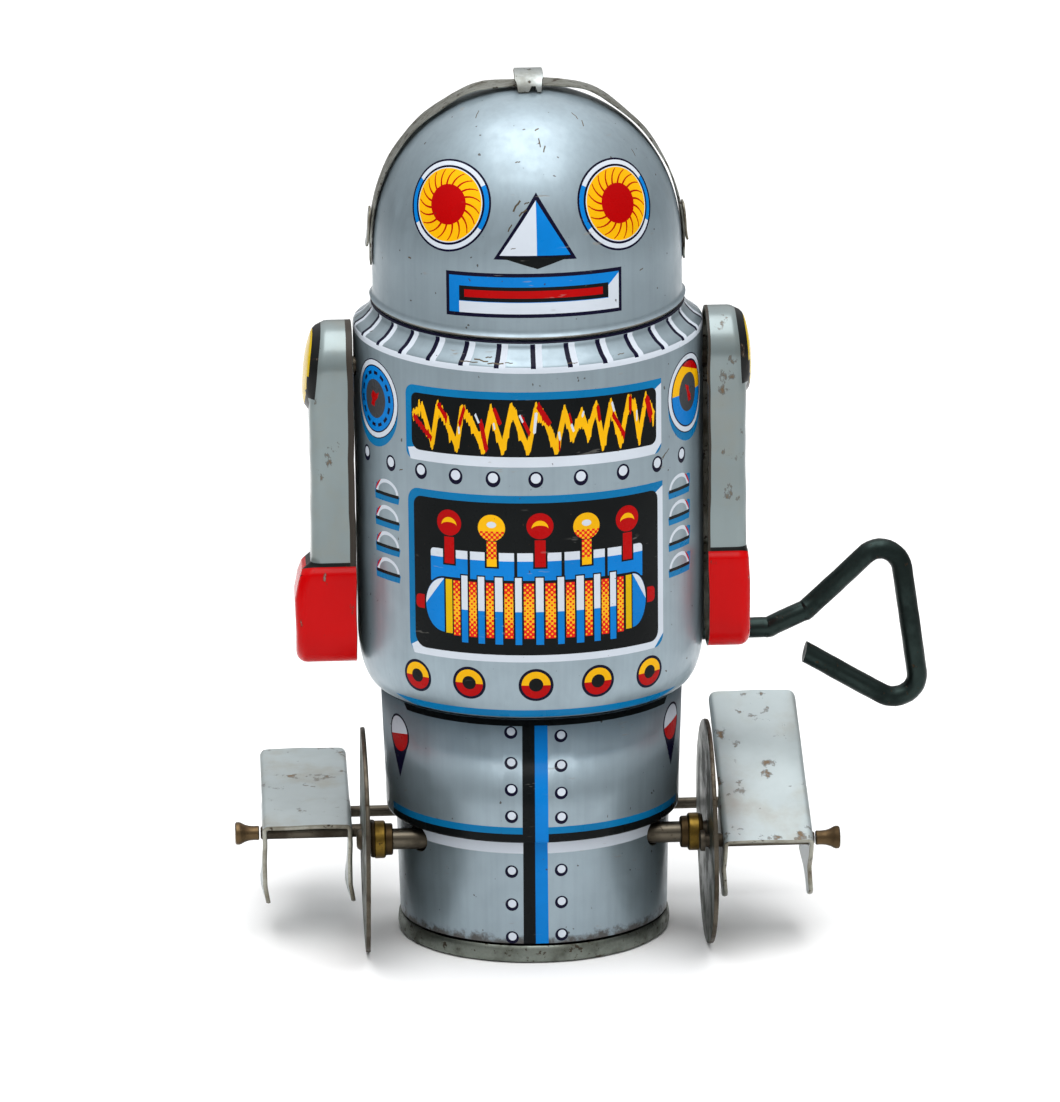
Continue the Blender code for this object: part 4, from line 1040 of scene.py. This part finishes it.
BRASS = metal("aged_brass", rgb(122, 98, 42), 0.34, rgb(66, 50, 22), 0.75, grain=(0.1, 1.0, 1.0), pits=0.3)
DARK_BRASS = metal("dark_brass", rgb(70, 56, 36), 0.45, rgb(40, 32, 24), 0.6, grain=(0.1, 1.0, 1.0),
    pits=0.3)
CAP_BRASS = metal("cap_brass", rgb(96, 79, 56), 0.42, rgb(60, 47, 33), 0.7, grain=(0.1, 1.0, 1.0), pits=0.3)
SPRING_STEEL = metal("blued_spring", rgb(70, 74, 92), 0.3, rgb(52, 46, 42), 0.5)
ARM_PAINT = paint("arm_paint", rgb(124, 137, 138), 0.3, -0.045, rgb(104, 84, 60), coat=0.35,
    metallic=0.45, stain=0.18)
# The feet carry the same grey paint as the arms. This copy is lighter as painted light, because the feet
# face up into the softbox.
FOOT_PAINT_LIT = paint("foot_paint", rgb(166, 177, 179), 0.4, 0.0, rgb(116, 96, 72), coat=0.15,
    edge_scale=0.35, metallic=0.4, stain=0.35)
HAND_RED = paint("hand_red", rgb(194, 1, 4), 0.24, -0.03, rgb(120, 116, 110), coat=0.04, vary=0.1,
    gloss=0.08)
WRIST_BLACK = paint("wrist_black", rgb(20, 22, 22), 0.35, -0.02, rgb(110, 100, 90), coat=0.05, gloss=0.15)
# The strip along the arm's open rim: a worn brown edge, darkened further as painted shade of the gap between
# the arm and the torso.
RIM_WEAR_AND_SHADE = paint("rim_wear_and_shade", rgb(54, 47, 40), 0.5, -0.03, rgb(112, 104, 92), coat=0.05, gloss=0.2)
BOSS_YELLOW = paint("boss_yellow", rgb(216, 182, 8), 0.24, -0.03, rgb(120, 110, 90), coat=0.12, gloss=0.2)

# ------------------------------------------------------------------ base plate

BASE_RADIUS = high("base_plate").y
BASE_RIM = high("base_plate").z
crimp = [
    (0.2, 0.13), (0.5, 0.03), (1.0, 0.05), (1.5, 0.12), (1.85, 0.2), (BASE_RIM, 0.34), (1.9, 0.46),
    (1.5, 0.5), (0.9, 0.55),
]
cup = [(0.0, 0.0), (0.0, 14.2), (0.04, 15.1)]
cup += [(rise, BASE_RADIUS - inset) for rise, inset in crimp]
cup += [(0.55, 14.6), (0.5, 13.8), (0.5, 0.0)]
cup = lathe("base_cup", cup, [BASE_TIN], (0.0, 0.0, 0.0), axis="Z", steps=160, wobble=0.0022)
stands_for(cup, "body", "bare_tin", "base_plate")

# ------------------------------------------------- head band, clip and ear tabs

BAND_END = low("head_band").z
BAND_HALF = high("head_band").y
BAND_RISE = high("head_band").x - HEAD_RADIUS


BAND_LIFT = 0.26


def dome_section(offset):
    """The band's outer face from the right foot over the top to the left foot."""
    bend = 2.0 / DOME_POWER
    dome = HEAD_TOP - DOME_START
    right = []
    for t in np.linspace(0.0, 0.5 * math.pi, 40):
        x = HEAD_RADIUS * max(0.0, math.cos(t)) ** bend
        z = dome * math.sin(t) ** bend
        steep, flat = x ** (DOME_POWER - 1.0), z ** (DOME_POWER - 1.0)
        out = Vector((steep / HEAD_RADIUS**DOME_POWER, flat / dome**DOME_POWER))
        out.normalize()
        right.append((x, z, out))
    right[-1] = (0.0, dome, Vector((0.0, 1.0)))
    path = [(HEAD_RADIUS + BAND_LIFT, BAND_END)]
    for sign, half in ((1.0, right), (-1.0, right[-2::-1])):
        for x, z, out in half:
            swell = 0.5 * math.exp(-(((sign * x - 6.5) / 3.6) ** 2))
            swell += 0.28 * math.exp(-(((sign * x + 5.5) / 3.0) ** 2))
            rise = BAND_LIFT + (offset - BAND_LIFT) * min(1.0, z / 13.0) + (swell if z > 12.0 else 0.0)
            path.append((sign * (x + out.x * rise), DOME_START + z + out.y * rise))
    return [*path, (-HEAD_RADIUS - BAND_LIFT, BAND_END)]


def band_edges(length):
    """The band's flat outline: both long edges, a little wavy and narrower at the feet."""
    run = np.linspace(0.0, length, 121)
    edges = []
    for sign, way in ((-1.0, run), (1.0, run[::-1])):
        for u in way:
            ripple = 0.05 * math.sin(1.3 * u + sign) + 0.04 * math.sin(3.1 * u)
            taper = min(1.0, 0.75 + 0.25 * min(u, length - u) / 3.0)
            edges.append((float(u), sign * (BAND_HALF * taper - 0.1 + ripple)))
    return edges


def band_buckle(p, q):
    return (0.0, 0.0, 0.06 * math.sin(0.9 * q[0] + 0.4 * q[1]) * (1.0 if p[2] > 88.0 else 0.2))


over_head = dome_section(BAND_RISE)
over_head = formed("seam_band", over_head, band_edges(Outline(over_head).length), 0.2, DARK_TIN, 1.1,
    warp=band_buckle)
stands_for(over_head, "body", "bare_tin", "head_band")

CLIP_TOP = high("head_band_clip").z
CLIP_HALF = high("head_band_clip").x
fold = [
    (-2.95, 2.6), (-2.92, 2.2), (-2.7, 1.8), (-2.2, 1.4), (-1.2, 1.02), (-0.2, 0.82), (0.5, 0.85),
    (1.0, 1.05), (1.3, 1.4),
]
fold = [(x, CLIP_TOP - drop) for x, drop in fold]
reach = Outline(fold).length
flap = [
    (0.0, -1.35), (0.0, -0.1), (0.55, 0.25), (0.55, 0.75), (0.0, 1.0), (0.0, 1.45), (1.2, 1.6),
    (1.5, CLIP_HALF), (reach - 1.6, CLIP_HALF),
    (reach, 1.5), (reach, -1.5), (reach - 1.6, -CLIP_HALF), (1.3, -CLIP_HALF), (0.9, -1.55),
]
swap_xy = Matrix(((0.0, 1.0, 0.0, 0.0), (1.0, 0.0, 0.0, 0.0), (0.0, 0.0, 1.0, 0.0), (0.0, 0.0, 0.0, 1.0)))
place = Matrix.Translation((0.3, 0.0, 0.0)) @ Matrix.Scale(0.9, 4, (1.0, 0.0, 0.0)) @ swap_xy
clip = formed("band_clip", fold, flap, TIN, CLIP_TIN, 0.5, place=place, edge=EDGE_TIN)
stands_for(clip, "body", "grey_paint", "head_band_clip")

for side, name in SIDES:
    node = f"ear_tab_{name}"
    top, foot = high(node).z, low(node).z
    inner = min(abs(high(node).x), abs(low(node).x)) + TIN
    bend = [(inner - 0.02, foot), (inner - 0.16, foot + 0.6), (inner - 0.24, foot + 1.4)]
    bend += [(inner - 0.28, foot + 2.2), (inner - 0.36, foot + 3.2), (inner - 0.48, top - 0.3)]
    length = Outline(bend).length
    shape = [(0.5, -1.6), (0.12, -1.4), (0.0, -1.0), (0.0, 1.0), (0.12, 1.4), (0.5, 1.6)]
    shape += [(length - 0.6, 1.5), (length, 1.1), (length, -1.1), (length - 0.6, -1.5)]
    mirror = Matrix.Scale(side, 4, (1.0, 0.0, 0.0))
    flap = formed(f"ear_flap_{name}", bend, shape, 0.24, CLIP_TIN, 0.6, place=mirror, edge=EDGE_TIN)
    stands_for(flap, "body", "bare_tin", node)

# ------------------------------------------------------------------------ arms

ARM_INNER = {"left": 19.9, "right": 19.78}
# How wide the worn strip along each arm's rim is; it also carries painted shade of the gap beside the torso.
RIM_STRIP = {"left": 0.65, "right": 0.25}
ARM_OUTER = {"left": 24.8, "right": 24.1}
HAND_OUT = {"left": 1.95, "right": 0.45}
SHOULDER_IN = {"left": 1.0, "right": 0.5}
ARM_LIFT = {"left": 0.0, "right": 0.8}
BOSS_RADIUS, BOSS_RISE, BOSS_RING = 4.8, 1.0, 4.95
BOSS_INK = 4.25
ARM_WALL, ARM_BEND = 0.5, 1.25
SHOULDER_HALF, WRIST_HALF, HAND_HALF = 5.1, 3.6, 4.2
WRIST, HAND_END = -22.2, -34.0
WRIST_LEVELS = [-21.2, -21.9, WRIST - 0.15, -22.6, -22.9, -23.2]
ARM_FORWARD_DEG = 1.5
GREY, BLACK, RED, YELLOW, INSIDE, RIM_WEAR_SHADE = range(6)
ARM_FINISH = [ARM_PAINT, WRIST_BLACK, HAND_RED, BOSS_YELLOW, EDGE_TIN, RIM_WEAR_AND_SHADE]


def eased(t):
    t = min(1.0, max(0.0, t))
    return t * t * (3.0 - 2.0 * t)


def arm_side_half(z):
    if z > 0.0:
        return math.sqrt(max(0.0, SHOULDER_HALF**2 - z * z))
    if z > WRIST:
        return SHOULDER_HALF + (WRIST_HALF - SHOULDER_HALF) * z / WRIST
    return WRIST_HALF + (HAND_HALF - WRIST_HALF) * eased((WRIST - z) / 0.9)


def arm_rim():
    """The arm from its side, about the shoulder, as y and z from the front of the shoulder round its top."""
    top = [(SHOULDER_HALF * math.cos(a), SHOULDER_HALF * math.sin(a)) for a in np.linspace(0.0, math.pi, 33)]
    levels = [-0.5 * k for k in range(1, 9)] + [-2.0 * k for k in range(3, 11)] + WRIST_LEVELS + [-24.0,
        -26.0, -28.0]
    back = [(-arm_side_half(z), z) for z in levels]
    middle_z = HAND_END + HAND_HALF
    turns = np.linspace(math.pi, 2.0 * math.pi, 33)
    end = [(HAND_HALF * math.cos(a), middle_z + HAND_HALF * math.sin(a)) for a in turns]
    return top + back + end + [(-y, z) for y, z in reversed(back)]


def inset_loop(loop, distance):
    out = []
    for before, p, after in zip([loop[-1], *loop], loop, [*loop[1:], loop[0]]):
        way = (Vector(after) - Vector(before)).normalized()
        out.append((p[0] - way.y * distance, p[1] + way.x * distance))
    return out


def arm_depth(name, z):
    """How far out the arm's side is: it leans in at the shoulder and steps out at the wrist."""
    lean = SHOULDER_IN[name] * eased((z + 6.0) / 12.0)
    swell = HAND_OUT[name] * (0.55 * eased((WRIST + 0.5 - z) / 1.2) + 0.45 * eased((WRIST - 0.2 - z) / 3.0))
    return ARM_OUTER[name] - lean + swell


def arm_boss(y, z):
    away = math.hypot(y, z) / BOSS_RADIUS
    return BOSS_RISE * (1.0 - away * away) ** 0.5 if away < 1.0 else 0.0


def level_finish(z):
    """Which finish the arm has at a height, outside its rim and its boss."""
    return GREY if z > WRIST + 0.3 else BLACK if z > WRIST - 0.15 else RED


def arm_edge(name, rim):
    """The arm's edge from its open rim to the start of its flat side, as points, faces and finishes."""
    rings = [[(ARM_INNER[name] + x, y, z) for y, z in rim] for x in (0.0, RIM_STRIP[name], 2.15)]
    for k in range(6):
        a = math.radians(18.0 * k)
        loop = inset_loop(rim, ARM_BEND * (1.0 - math.cos(a)))
        back = ARM_BEND * (1.0 - math.sin(a))
        rings.append([(arm_depth(name, z) - back + arm_boss(y, z), y, z) for y, z in loop])
    count = len(rim)
    faces, slots = [], []
    for k in range(len(rings) - 1):
        for i in range(count):
            j = (i + 1) % count
            faces.append([k * count + i, k * count + j, (k + 1) * count + j, (k + 1) * count + i])
            # The strip along the open rim takes the worn rim finish, darkened as painted shade of the gap
            # beside the torso.
            in_strip = k == 0 and rim[i][1] >= WRIST
            slots.append(RIM_WEAR_SHADE if in_strip else level_finish(0.5 * (rim[i][1] + rim[j][1])))
    return [p for ring in rings for p in ring], faces, slots


def arm_side(name, loop):
    """The arm's flat side inside a loop, cut along its boss, its printed ring and its wrist."""
    verts = [Vector(p) for p in loop]
    edges = []
    polygons = [list(range(len(loop)))]
    for radius in (3.8, 3.4, 2.9, 2.2, 1.5, 0.7):
        polygons.append(list(range(len(verts), len(verts) + 32)))
        verts += [Vector(p) for p in oval(0.0, 0.0, radius, radius, 32)]
    for radius, start_deg, end_deg in ((4.22, 216.0, 324.0), (4.9, 226.0, 314.0)):
        edges += [(i, i + 1) for i in range(len(verts), len(verts) + 24)]
        turns = np.radians(np.linspace(start_deg, end_deg, 25))
        verts += [Vector((radius * math.cos(a), radius * math.sin(a))) for a in turns]
    for z in (-6.0, -9.0, -12.0, -15.0, -18.0, *WRIST_LEVELS, -26.0, -29.0, -31.5):
        edges.append((len(verts), len(verts) + 1))
        verts += [Vector((-6.0, z)), Vector((6.0, z))]
    result = delaunay_2d_cdt(verts, edges, polygons, 0, 1e-6, True)
    points = [(arm_depth(name, v.y) + arm_boss(v.x, v.y), v.x, v.y) for v in result[0]]
    faces, slots = [], []
    for face, found in zip(result[2], result[5]):
        if 0 in found:
            height = sum(points[i][2] for i in face) / len(face)
            faces.append(face)
            slots.append(YELLOW if len(found) > 1 else level_finish(height))
    return points, faces, slots


def shoulder_finish(name, corners):
    """The finish of a grey face near the shoulder: the yellow boss in its black ring, or grey."""
    away = max(math.hypot(y, z) for _, y, z in corners)
    inward = max(arm_depth(name, z) - x for x, _, z in corners)
    foot = min(z for _, _, z in corners)
    if away < BOSS_RING and inward < 0.9 or foot > -3.05 and inward < 0.55:
        return YELLOW if away < BOSS_INK else BLACK
    return GREY


def build_arm(side, name):
    rim = arm_rim()
    points, faces, slots = arm_edge(name, rim)
    base = len(points)
    side_points, side_faces, side_slots = arm_side(name, [(y, z) for _, y, z in points[-len(rim) :]])
    points += side_points
    faces += [[base + i for i in face] for face in side_faces]
    slots += side_slots
    for i, face in enumerate(faces):
        if slots[i] == GREY:
            slots[i] = shoulder_finish(name, [points[j] for j in face])
    dents = []
    for x, _, z in points:
        out = 0.05 * math.sin(0.35 * z + 0.6 * x) + 0.03 * math.sin(1.1 * z)
        dents.append((out, 0.05 * math.sin(0.5 * z + side), 0.0))
    mirror = Matrix.Scale(side, 4, (1.0, 0.0, 0.0))
    pivot = Vector((0.0, *middle(f"shoulder_pin_{name}").yz))
    place = Matrix.Translation(pivot + Vector((0.0, 0.0, ARM_LIFT[name])))
    place = np.array(place @ Matrix.Rotation(-math.radians(ARM_FORWARD_DEG), 4, "X") @ mirror)
    spots = (np.array(points) + np.array(dents)) @ place[:3, :3].T + place[:3, 3]
    faces = [face[::-1] for face in faces] if side < 0 else faces
    piece = two_sided(f"{name}_arm_pressing", spots, None, faces, slots, ARM_WALL, INSIDE, INSIDE,
        ARM_FINISH)
    stands_for(piece, f"arm_{name}", "grey_paint", f"arm_{name}")
    rivet_profile = [(0.0, 0.0), (0.02, 1.4), (0.15, 1.85), (0.6, 1.95), (0.6, 1.0), (6.5, 1.0),
        (6.6, 0.9), (6.6, 0.0)]
    pin = lathe(f"{name}_shoulder_rivet", rivet_profile, [PIN_STEEL], (17.6, 0.0, 0.0), steps=28)
    pin.data.transform(Matrix.Translation(pivot * MM) @ mirror)
    if side < 0:
        pin.data.flip_normals()
    stands_for(pin, f"arm_{name}", "steel", f"shoulder_pin_{name}")


for side, name in SIDES:
    build_arm(side, name)

# ---------------------------------------------------------------- walking gear

AXLE = middle("drive_axle")
AXLE_HALF = high("drive_axle").x
WHEEL_RADIUS = high("wheel_disc_left").z - AXLE.z
FOOT_PITCH_DEG = {"left": 4.5, "right": 27.0}
axle_end = [(0.0, 0.0), (0.0, 0.75), (0.12, 1.0), (0.35, 1.15), (0.8, 1.2), (4.0, 1.2)]
axle_profile = [(-AXLE_HALF + in_from_end, r) for in_from_end, r in axle_end]
axle_profile += [(0.0, 1.2), *((AXLE_HALF - in_from_end, r) for in_from_end, r in reversed(axle_end))]
stands_for(lathe("axle_rod", axle_profile, [BRIGHT_STEEL], AXLE, steps=32), "drive", "steel", "drive_axle")

ROD = middle("rear_rest_rod")
ROD_HALF = high("rear_rest_rod").x
rod_profile = [(-ROD_HALF, 0.0), (-ROD_HALF, 0.5), (-ROD_HALF + 0.2, 0.65), (0.0, 0.65)]
rod_profile += [(ROD_HALF - 0.2, 0.65), (ROD_HALF, 0.5), (ROD_HALF, 0.0)]
stands_for(lathe("rest_bar", rod_profile, [PIN_STEEL], ROD, steps=24), "body", "steel", "rear_rest_rod")


def build_disc(side, name):
    """A slightly dished disc with a worn rim, bored for the axle and the crank pin."""
    rim = (WHEEL_RADIUS, WHEEL_RADIUS - 0.25, WHEEL_RADIUS - 0.7)
    rings = [(0.0, radius, 96 if radius > 7.0 else 48) for radius in (*rim, 11.2, 9.5, 7.5, 5.8, 4.9, 4.0,
        2.6)]
    bores = [(0.0, 1.4, 24), (middle(f"crank_pin_{name}").y - AXLE.y, 0.98, 24)]
    verts, polygons = [], []
    for y, radius, steps in rings + bores:
        polygons.append(list(range(len(verts), len(verts) + steps)))
        verts += [Vector(p) for p in oval(y, 0.0, radius, radius, steps)]
    open_to = set(range(len(rings), len(polygons)))
    result = delaunay_2d_cdt(verts, [], polygons, 0, 1e-6, True)
    faces = [f[:: int(side)] for f, found in zip(result[2], result[5]) if found and not open_to & set(found)]
    points = []
    for y, z in result[0]:
        out = (math.hypot(y, z) / WHEEL_RADIUS) ** 2
        dish = 0.16 * out + 0.05 * math.sin(3.0 * math.atan2(z, y)) * out
        points.append((side * (19.82 - dish), AXLE.y + y, AXLE.z + z))
    name = f"{name}_crank_disc"
    return two_sided(name, np.array(points), None, faces, [0] * len(faces), 0.5, 0, 1,
        [DISC_STEEL, PIN_STEEL])


AXLE_RING = [(16.3, 1.42), (16.3, 1.65), (16.42, 1.8), (17.1, 1.82), (17.15, 2.0), (17.3, 2.14),
    (18.3, 2.15)]
AXLE_RING += [(18.4, 2.05), (18.6, 2.05), (18.8, 1.95), (18.8, 1.42)]
RING_BANDS = [1, 1, 1, 1, 0, 0, 0, 1, 1, 1, 1]
PIN_SHANK = [(18.2, 0.0), (18.2, 0.9), (18.3, 1.15), (18.5, 1.2), (18.8, 1.2), (18.8, 0.75)]
PIN_SHANK += [(31.05, 0.75), (31.2, 0.6), (31.2, 0.0)]
PIN_CONE = [(31.35, 0.0), (31.35, 0.72), (31.45, 0.82), (31.9, 0.8), (32.5, 0.85), (33.0, 1.0), (33.4, 1.22)]
PIN_CONE += [(33.65, 1.3), (33.95, 1.28), (34.08, 1.12), (34.08, 0.6), (33.98, 0.45), (33.98, 0.0)]


def build_wheel(side, name):
    """A disc wheel with its brass ring on the axle, and its crank pin with the flared cap."""

    def turned(part, profile, materials, centre, **settings):
        profile = [(side * x, r) for x, r in profile]
        return lathe(f"{name}_{part}", profile, materials, (0.0, centre.y, centre.z), **settings)

    crank = middle(f"crank_pin_{name}")
    stands_for(build_disc(side, name), "drive", "steel", f"wheel_disc_{name}")
    ring = turned("axle_ring", AXLE_RING, [BRASS, DARK_BRASS], AXLE, steps=36, ring=True, bands=RING_BANDS)
    stands_for(ring, "drive", "brass", f"wheel_collar_{name}")
    shank = turned("pin_shank", PIN_SHANK, [PIN_STEEL], crank, steps=28)
    stands_for(shank, f"crank_pin_{name}", "steel", f"crank_pin_{name}")
    cone = turned("pin_cone", PIN_CONE, [CAP_BRASS], crank, steps=36, wobble=0.006)
    stands_for(cone, f"crank_pin_{name}", "brass", f"pin_cap_{name}")


for side, name in SIDES:
    build_wheel(side, name)

# ------------------------------------------------------------------------ feet

FOOT_INNER, FOOT_OUTER, FOOT_TIN, FOOT_BEND = 20.8, 31.0, 0.5, 0.7
FOOT_FRONT, FOOT_BACK, FOOT_TOP = -1.7, 23.3, 1.5
LEG_BACK, LEG_DROP, LEG_TIP = 6.5, 8.9, 3.0
PLATE_CORNER, PIN_HOLE = 1.3, 0.95


def foot_section():
    """The foot from the front: the outer leg's end, up, over the plate and down the inner leg."""
    levels = (-LEG_DROP, -6.0, -3.0, -1.0)
    top = FOOT_TOP - FOOT_BEND
    section = [(FOOT_OUTER, z) for z in levels]
    section += arc((FOOT_OUTER - FOOT_BEND, top), FOOT_BEND, 0.0, 90.0, 6)
    section += [(x, FOOT_TOP) for x in (28.2, 26.0, 23.8)]
    section += arc((FOOT_INNER + FOOT_BEND, top), FOOT_BEND, 90.0, 180.0, 6)
    return section + [(FOOT_INNER, z) for z in reversed(levels)]


def foot_outline(length):
    """The foot's flat sheet: two legs with rounded tips at the front, and the plate behind them."""
    leg = LEG_DROP + FOOT_TOP - FOOT_BEND
    notch, tip, corner = leg + 0.3, LEG_TIP, PLATE_CORNER
    right = length - notch
    shape = arc((tip, FOOT_FRONT + tip), tip, 180.0, 270.0, 6)
    shape += [(leg - 1.0, FOOT_FRONT), (leg + 0.6, FOOT_FRONT - 0.05), (0.5 * length, FOOT_FRONT + 0.05)]
    shape += [(length - leg, FOOT_FRONT)]
    shape += arc((length - tip, FOOT_FRONT + tip), tip, 270.0, 360.0, 6)
    shape += arc((length - tip, LEG_BACK - tip), tip, 0.0, 90.0, 6)
    shape += [(right + 0.9, LEG_BACK), (right + 0.25, LEG_BACK + 0.3), (right, LEG_BACK + 1.0)]
    shape += [(right, FOOT_BACK - corner - 2.0)]
    shape += arc((right - corner, FOOT_BACK - corner), corner, 0.0, 90.0, 6)
    shape += arc((notch + corner, FOOT_BACK - corner), corner, 90.0, 180.0, 6)
    shape += [(notch, FOOT_BACK - corner - 2.0), (notch, LEG_BACK + 1.0), (notch - 0.25, LEG_BACK + 0.3)]
    shape += [(notch - 0.9, LEG_BACK)]
    return shape + arc((tip, LEG_BACK - tip), tip, 90.0, 180.0, 6)


def build_foot(side, name):
    section = foot_section()
    length = Outline(section).length
    holes = [oval(u, 0.0, PIN_HOLE, PIN_HOLE) for u in (LEG_DROP, length - LEG_DROP)]

    def flex(p, _):
        """A little unevenness: the legs wave towards their tips and the plate sags."""
        drop = max(0.0, -p[2]) / LEG_DROP
        wave = 0.32 * drop * math.sin(0.75 * p[2] + 0.35 * p[1] + side)
        sag = 0.12 * math.sin(0.22 * p[1] + 0.4 * p[0]) if p[2] > 0.5 else 0.0
        return (wave, 0.0, -abs(sag))

    place = Matrix.Translation(Vector((0.0, *middle(f"crank_pin_{name}").yz)))
    place = place @ Matrix.Rotation(math.radians(FOOT_PITCH_DEG[name]), 4, "X") @ Matrix.Scale(side, 4,
        (1.0, 0.0, 0.0))
    settings = {"place": place, "holes": holes, "warp": flex, "edge": EDGE_TIN}
    piece = formed(f"{name}_foot_plate", section, foot_outline(length), FOOT_TIN, FOOT_PAINT_LIT, 1.2,
        **settings)
    stands_for(piece, f"foot_{name}", "grey_paint", f"foot_{name}")


for side, name in SIDES:
    build_foot(side, name)

# ------------------------------------------------------------------ winding key

KEY_Y, KEY_WIRE, KEY_BEND = 4.0, 1.18, 2.6
KEY_CORNERS = ((8.9, 33.3), (27.4, 33.3), (31.8, 35.3), (42.1, 45.0), (45.3, 22.4), (31.6, 30.3))


def key_path():
    """The bent wire from the motor out, round the triangle and back towards the robot."""
    corners = [Vector((x, 0.0, z)) for x, z in KEY_CORNERS]
    path = [corners[0]]
    for before, corner, after in zip(corners, corners[1:], corners[2:]):
        back = (before - corner).normalized()
        ahead = (after - corner).normalized()
        half = 0.5 * back.angle(ahead)
        centre = corner + (back + ahead).normalized() * (KEY_BEND / math.sin(half))
        start = corner + back * (KEY_BEND / math.tan(half))
        end = corner + ahead * (KEY_BEND / math.tan(half))
        last = path[-1]
        steps = max(2, round((start - last).length / 1.2))
        path += [last.lerp(start, k / steps) for k in range(1, steps)]
        for k in range(13):
            way = (start - centre).normalized().slerp((end - centre).normalized(), k / 12.0)
            path.append(centre + way * KEY_BEND)
    last, end = path[-1], corners[-1]
    path += [last.lerp(end, k / 8.0) for k in range(1, 9)]
    return [p + Vector((0.0, KEY_Y, 0.05 * math.sin(0.5 * i))) for i, p in enumerate(path)]


wire = swept("key_wire", key_path(), KEY_WIRE, KEY_STEEL, steps=20, lean_at_end=0.35)
stands_for(wire, "winder", "key_steel", "winding_key")

# ------------------------------------------------------- the motor's own finish

FINISH = {
    "brass": BRASS, "steel": BRIGHT_STEEL, "spring_steel": SPRING_STEEL, "bare_tin": INKS["tin"],
    "key_steel": KEY_STEEL,
    "grey_paint": ARM_PAINT, "printed_tin": INKS["silver"],
}
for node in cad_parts.values():
    for slot in node.material_slots:
        slot.material = FINISH[slot.material.name.split(".")[0]]

# ------------------------------------------------------------------ the studio

FLOOR_HALF = 6.0
CAMERA_AWAY, CAMERA_HEIGHT, CAMERA_TURN_DEG, CAMERA_ROLL_DEG = 0.690, 0.220, 3.0, -0.6
CAMERA_LENS = 205.4
LOOK_AT = (0.0, 0.0, 0.044)


def lay_floor():
    """Pale paper, painted darker far out to both sides as shade, so that the metal's sides reflect dark."""
    h = FLOOR_HALF
    floor = bpy.data.meshes.new("floor")
    floor.from_pydata([(-h, -h, 0.0), (h, -h, 0.0), (h, h, 0.0), (-h, h, 0.0)], [], [(0, 1, 2, 3)])
    n = Nodes("floor_paper")
    tone = n.mix(n.noise(0.004, 3.0, seed=31.0), rgb(243, 243, 243), rgb(249, 249, 249))
    aside = n.math("ABSOLUTE", n.axes()[0])
    # Painted shade: the paper turns grey away from the middle, standing in for a darker room at the sides.
    n.colour(n.mix(n.ramp(aside, 0.14, 0.5), tone, rgb(160, 160, 160)))
    n.fix(Roughness=0.85)
    n.bump(n.noise(0.8, 3.0, seed=32.0), 0.02)
    floor.materials.append(n.material)
    link("floor", floor)


def light_room():
    """A white room, brighter overhead and darker to both sides."""
    world = bpy.data.worlds.new("studio")
    world.use_nodes = True
    tree = world.node_tree
    way = tree.nodes.new("ShaderNodeTexCoord")
    split = tree.nodes.new("ShaderNodeSeparateXYZ")
    tree.links.new(way.outputs["Generated"], split.inputs[0])
    aside = tree.nodes.new("ShaderNodeMath")
    aside.operation = "ABSOLUTE"
    tree.links.new(split.outputs["X"], aside.inputs[0])
    level = tree.nodes.new("ShaderNodeMath")
    level.operation = "MULTIPLY"
    ranges = ((split.outputs["Z"], (0.1, 0.9, 0.22, 1.4)), (aside.outputs[0], (0.35, 0.95, 1.0, 0.5)))
    for factor, (source, numbers) in zip(level.inputs, ranges):
        part = tree.nodes.new("ShaderNodeMapRange")
        tree.links.new(source, part.inputs["Value"])
        set_range(part, *numbers)
        tree.links.new(part.outputs["Result"], factor)
    back = tree.nodes["Background"]
    tree.links.new(level.outputs[0], back.inputs["Strength"])
    back.inputs["Color"].default_value = (1.0, 1.0, 1.0, 1.0)
    bpy.context.scene.world = world


def hang_softbox():
    light = bpy.data.lights.new("overhead_softbox", "AREA")
    light.shape = "RECTANGLE"
    light.size, light.size_y = 1.0, 1.3
    light.energy = 13.5
    lamp = link("overhead_softbox", light)
    lamp.location = (0.0, -0.22, 1.25)
    lamp.rotation_euler = (Vector((0.0, 0.0, 0.05)) - lamp.location).to_track_quat("-Z", "Y").to_euler()


def place_camera():
    camera = link("camera", bpy.data.cameras.new("camera"))
    turn = math.radians(CAMERA_TURN_DEG)
    camera.location = (-CAMERA_AWAY * math.sin(turn), -CAMERA_AWAY * math.cos(turn), CAMERA_HEIGHT)
    level = (Vector(LOOK_AT) - camera.location).to_track_quat("-Z", "Y")
    camera.rotation_mode = "QUATERNION"
    camera.rotation_quaternion = level @ Matrix.Rotation(math.radians(CAMERA_ROLL_DEG), 4,
        "Z").to_quaternion()
    camera.data.lens = CAMERA_LENS
    camera.data.clip_start = 0.05
    camera.data.clip_end = 30.0
    bpy.context.scene.camera = camera


lay_floor()
light_room()
hang_softbox()
place_camera()
bpy.context.scene.view_settings.view_transform = "Standard"
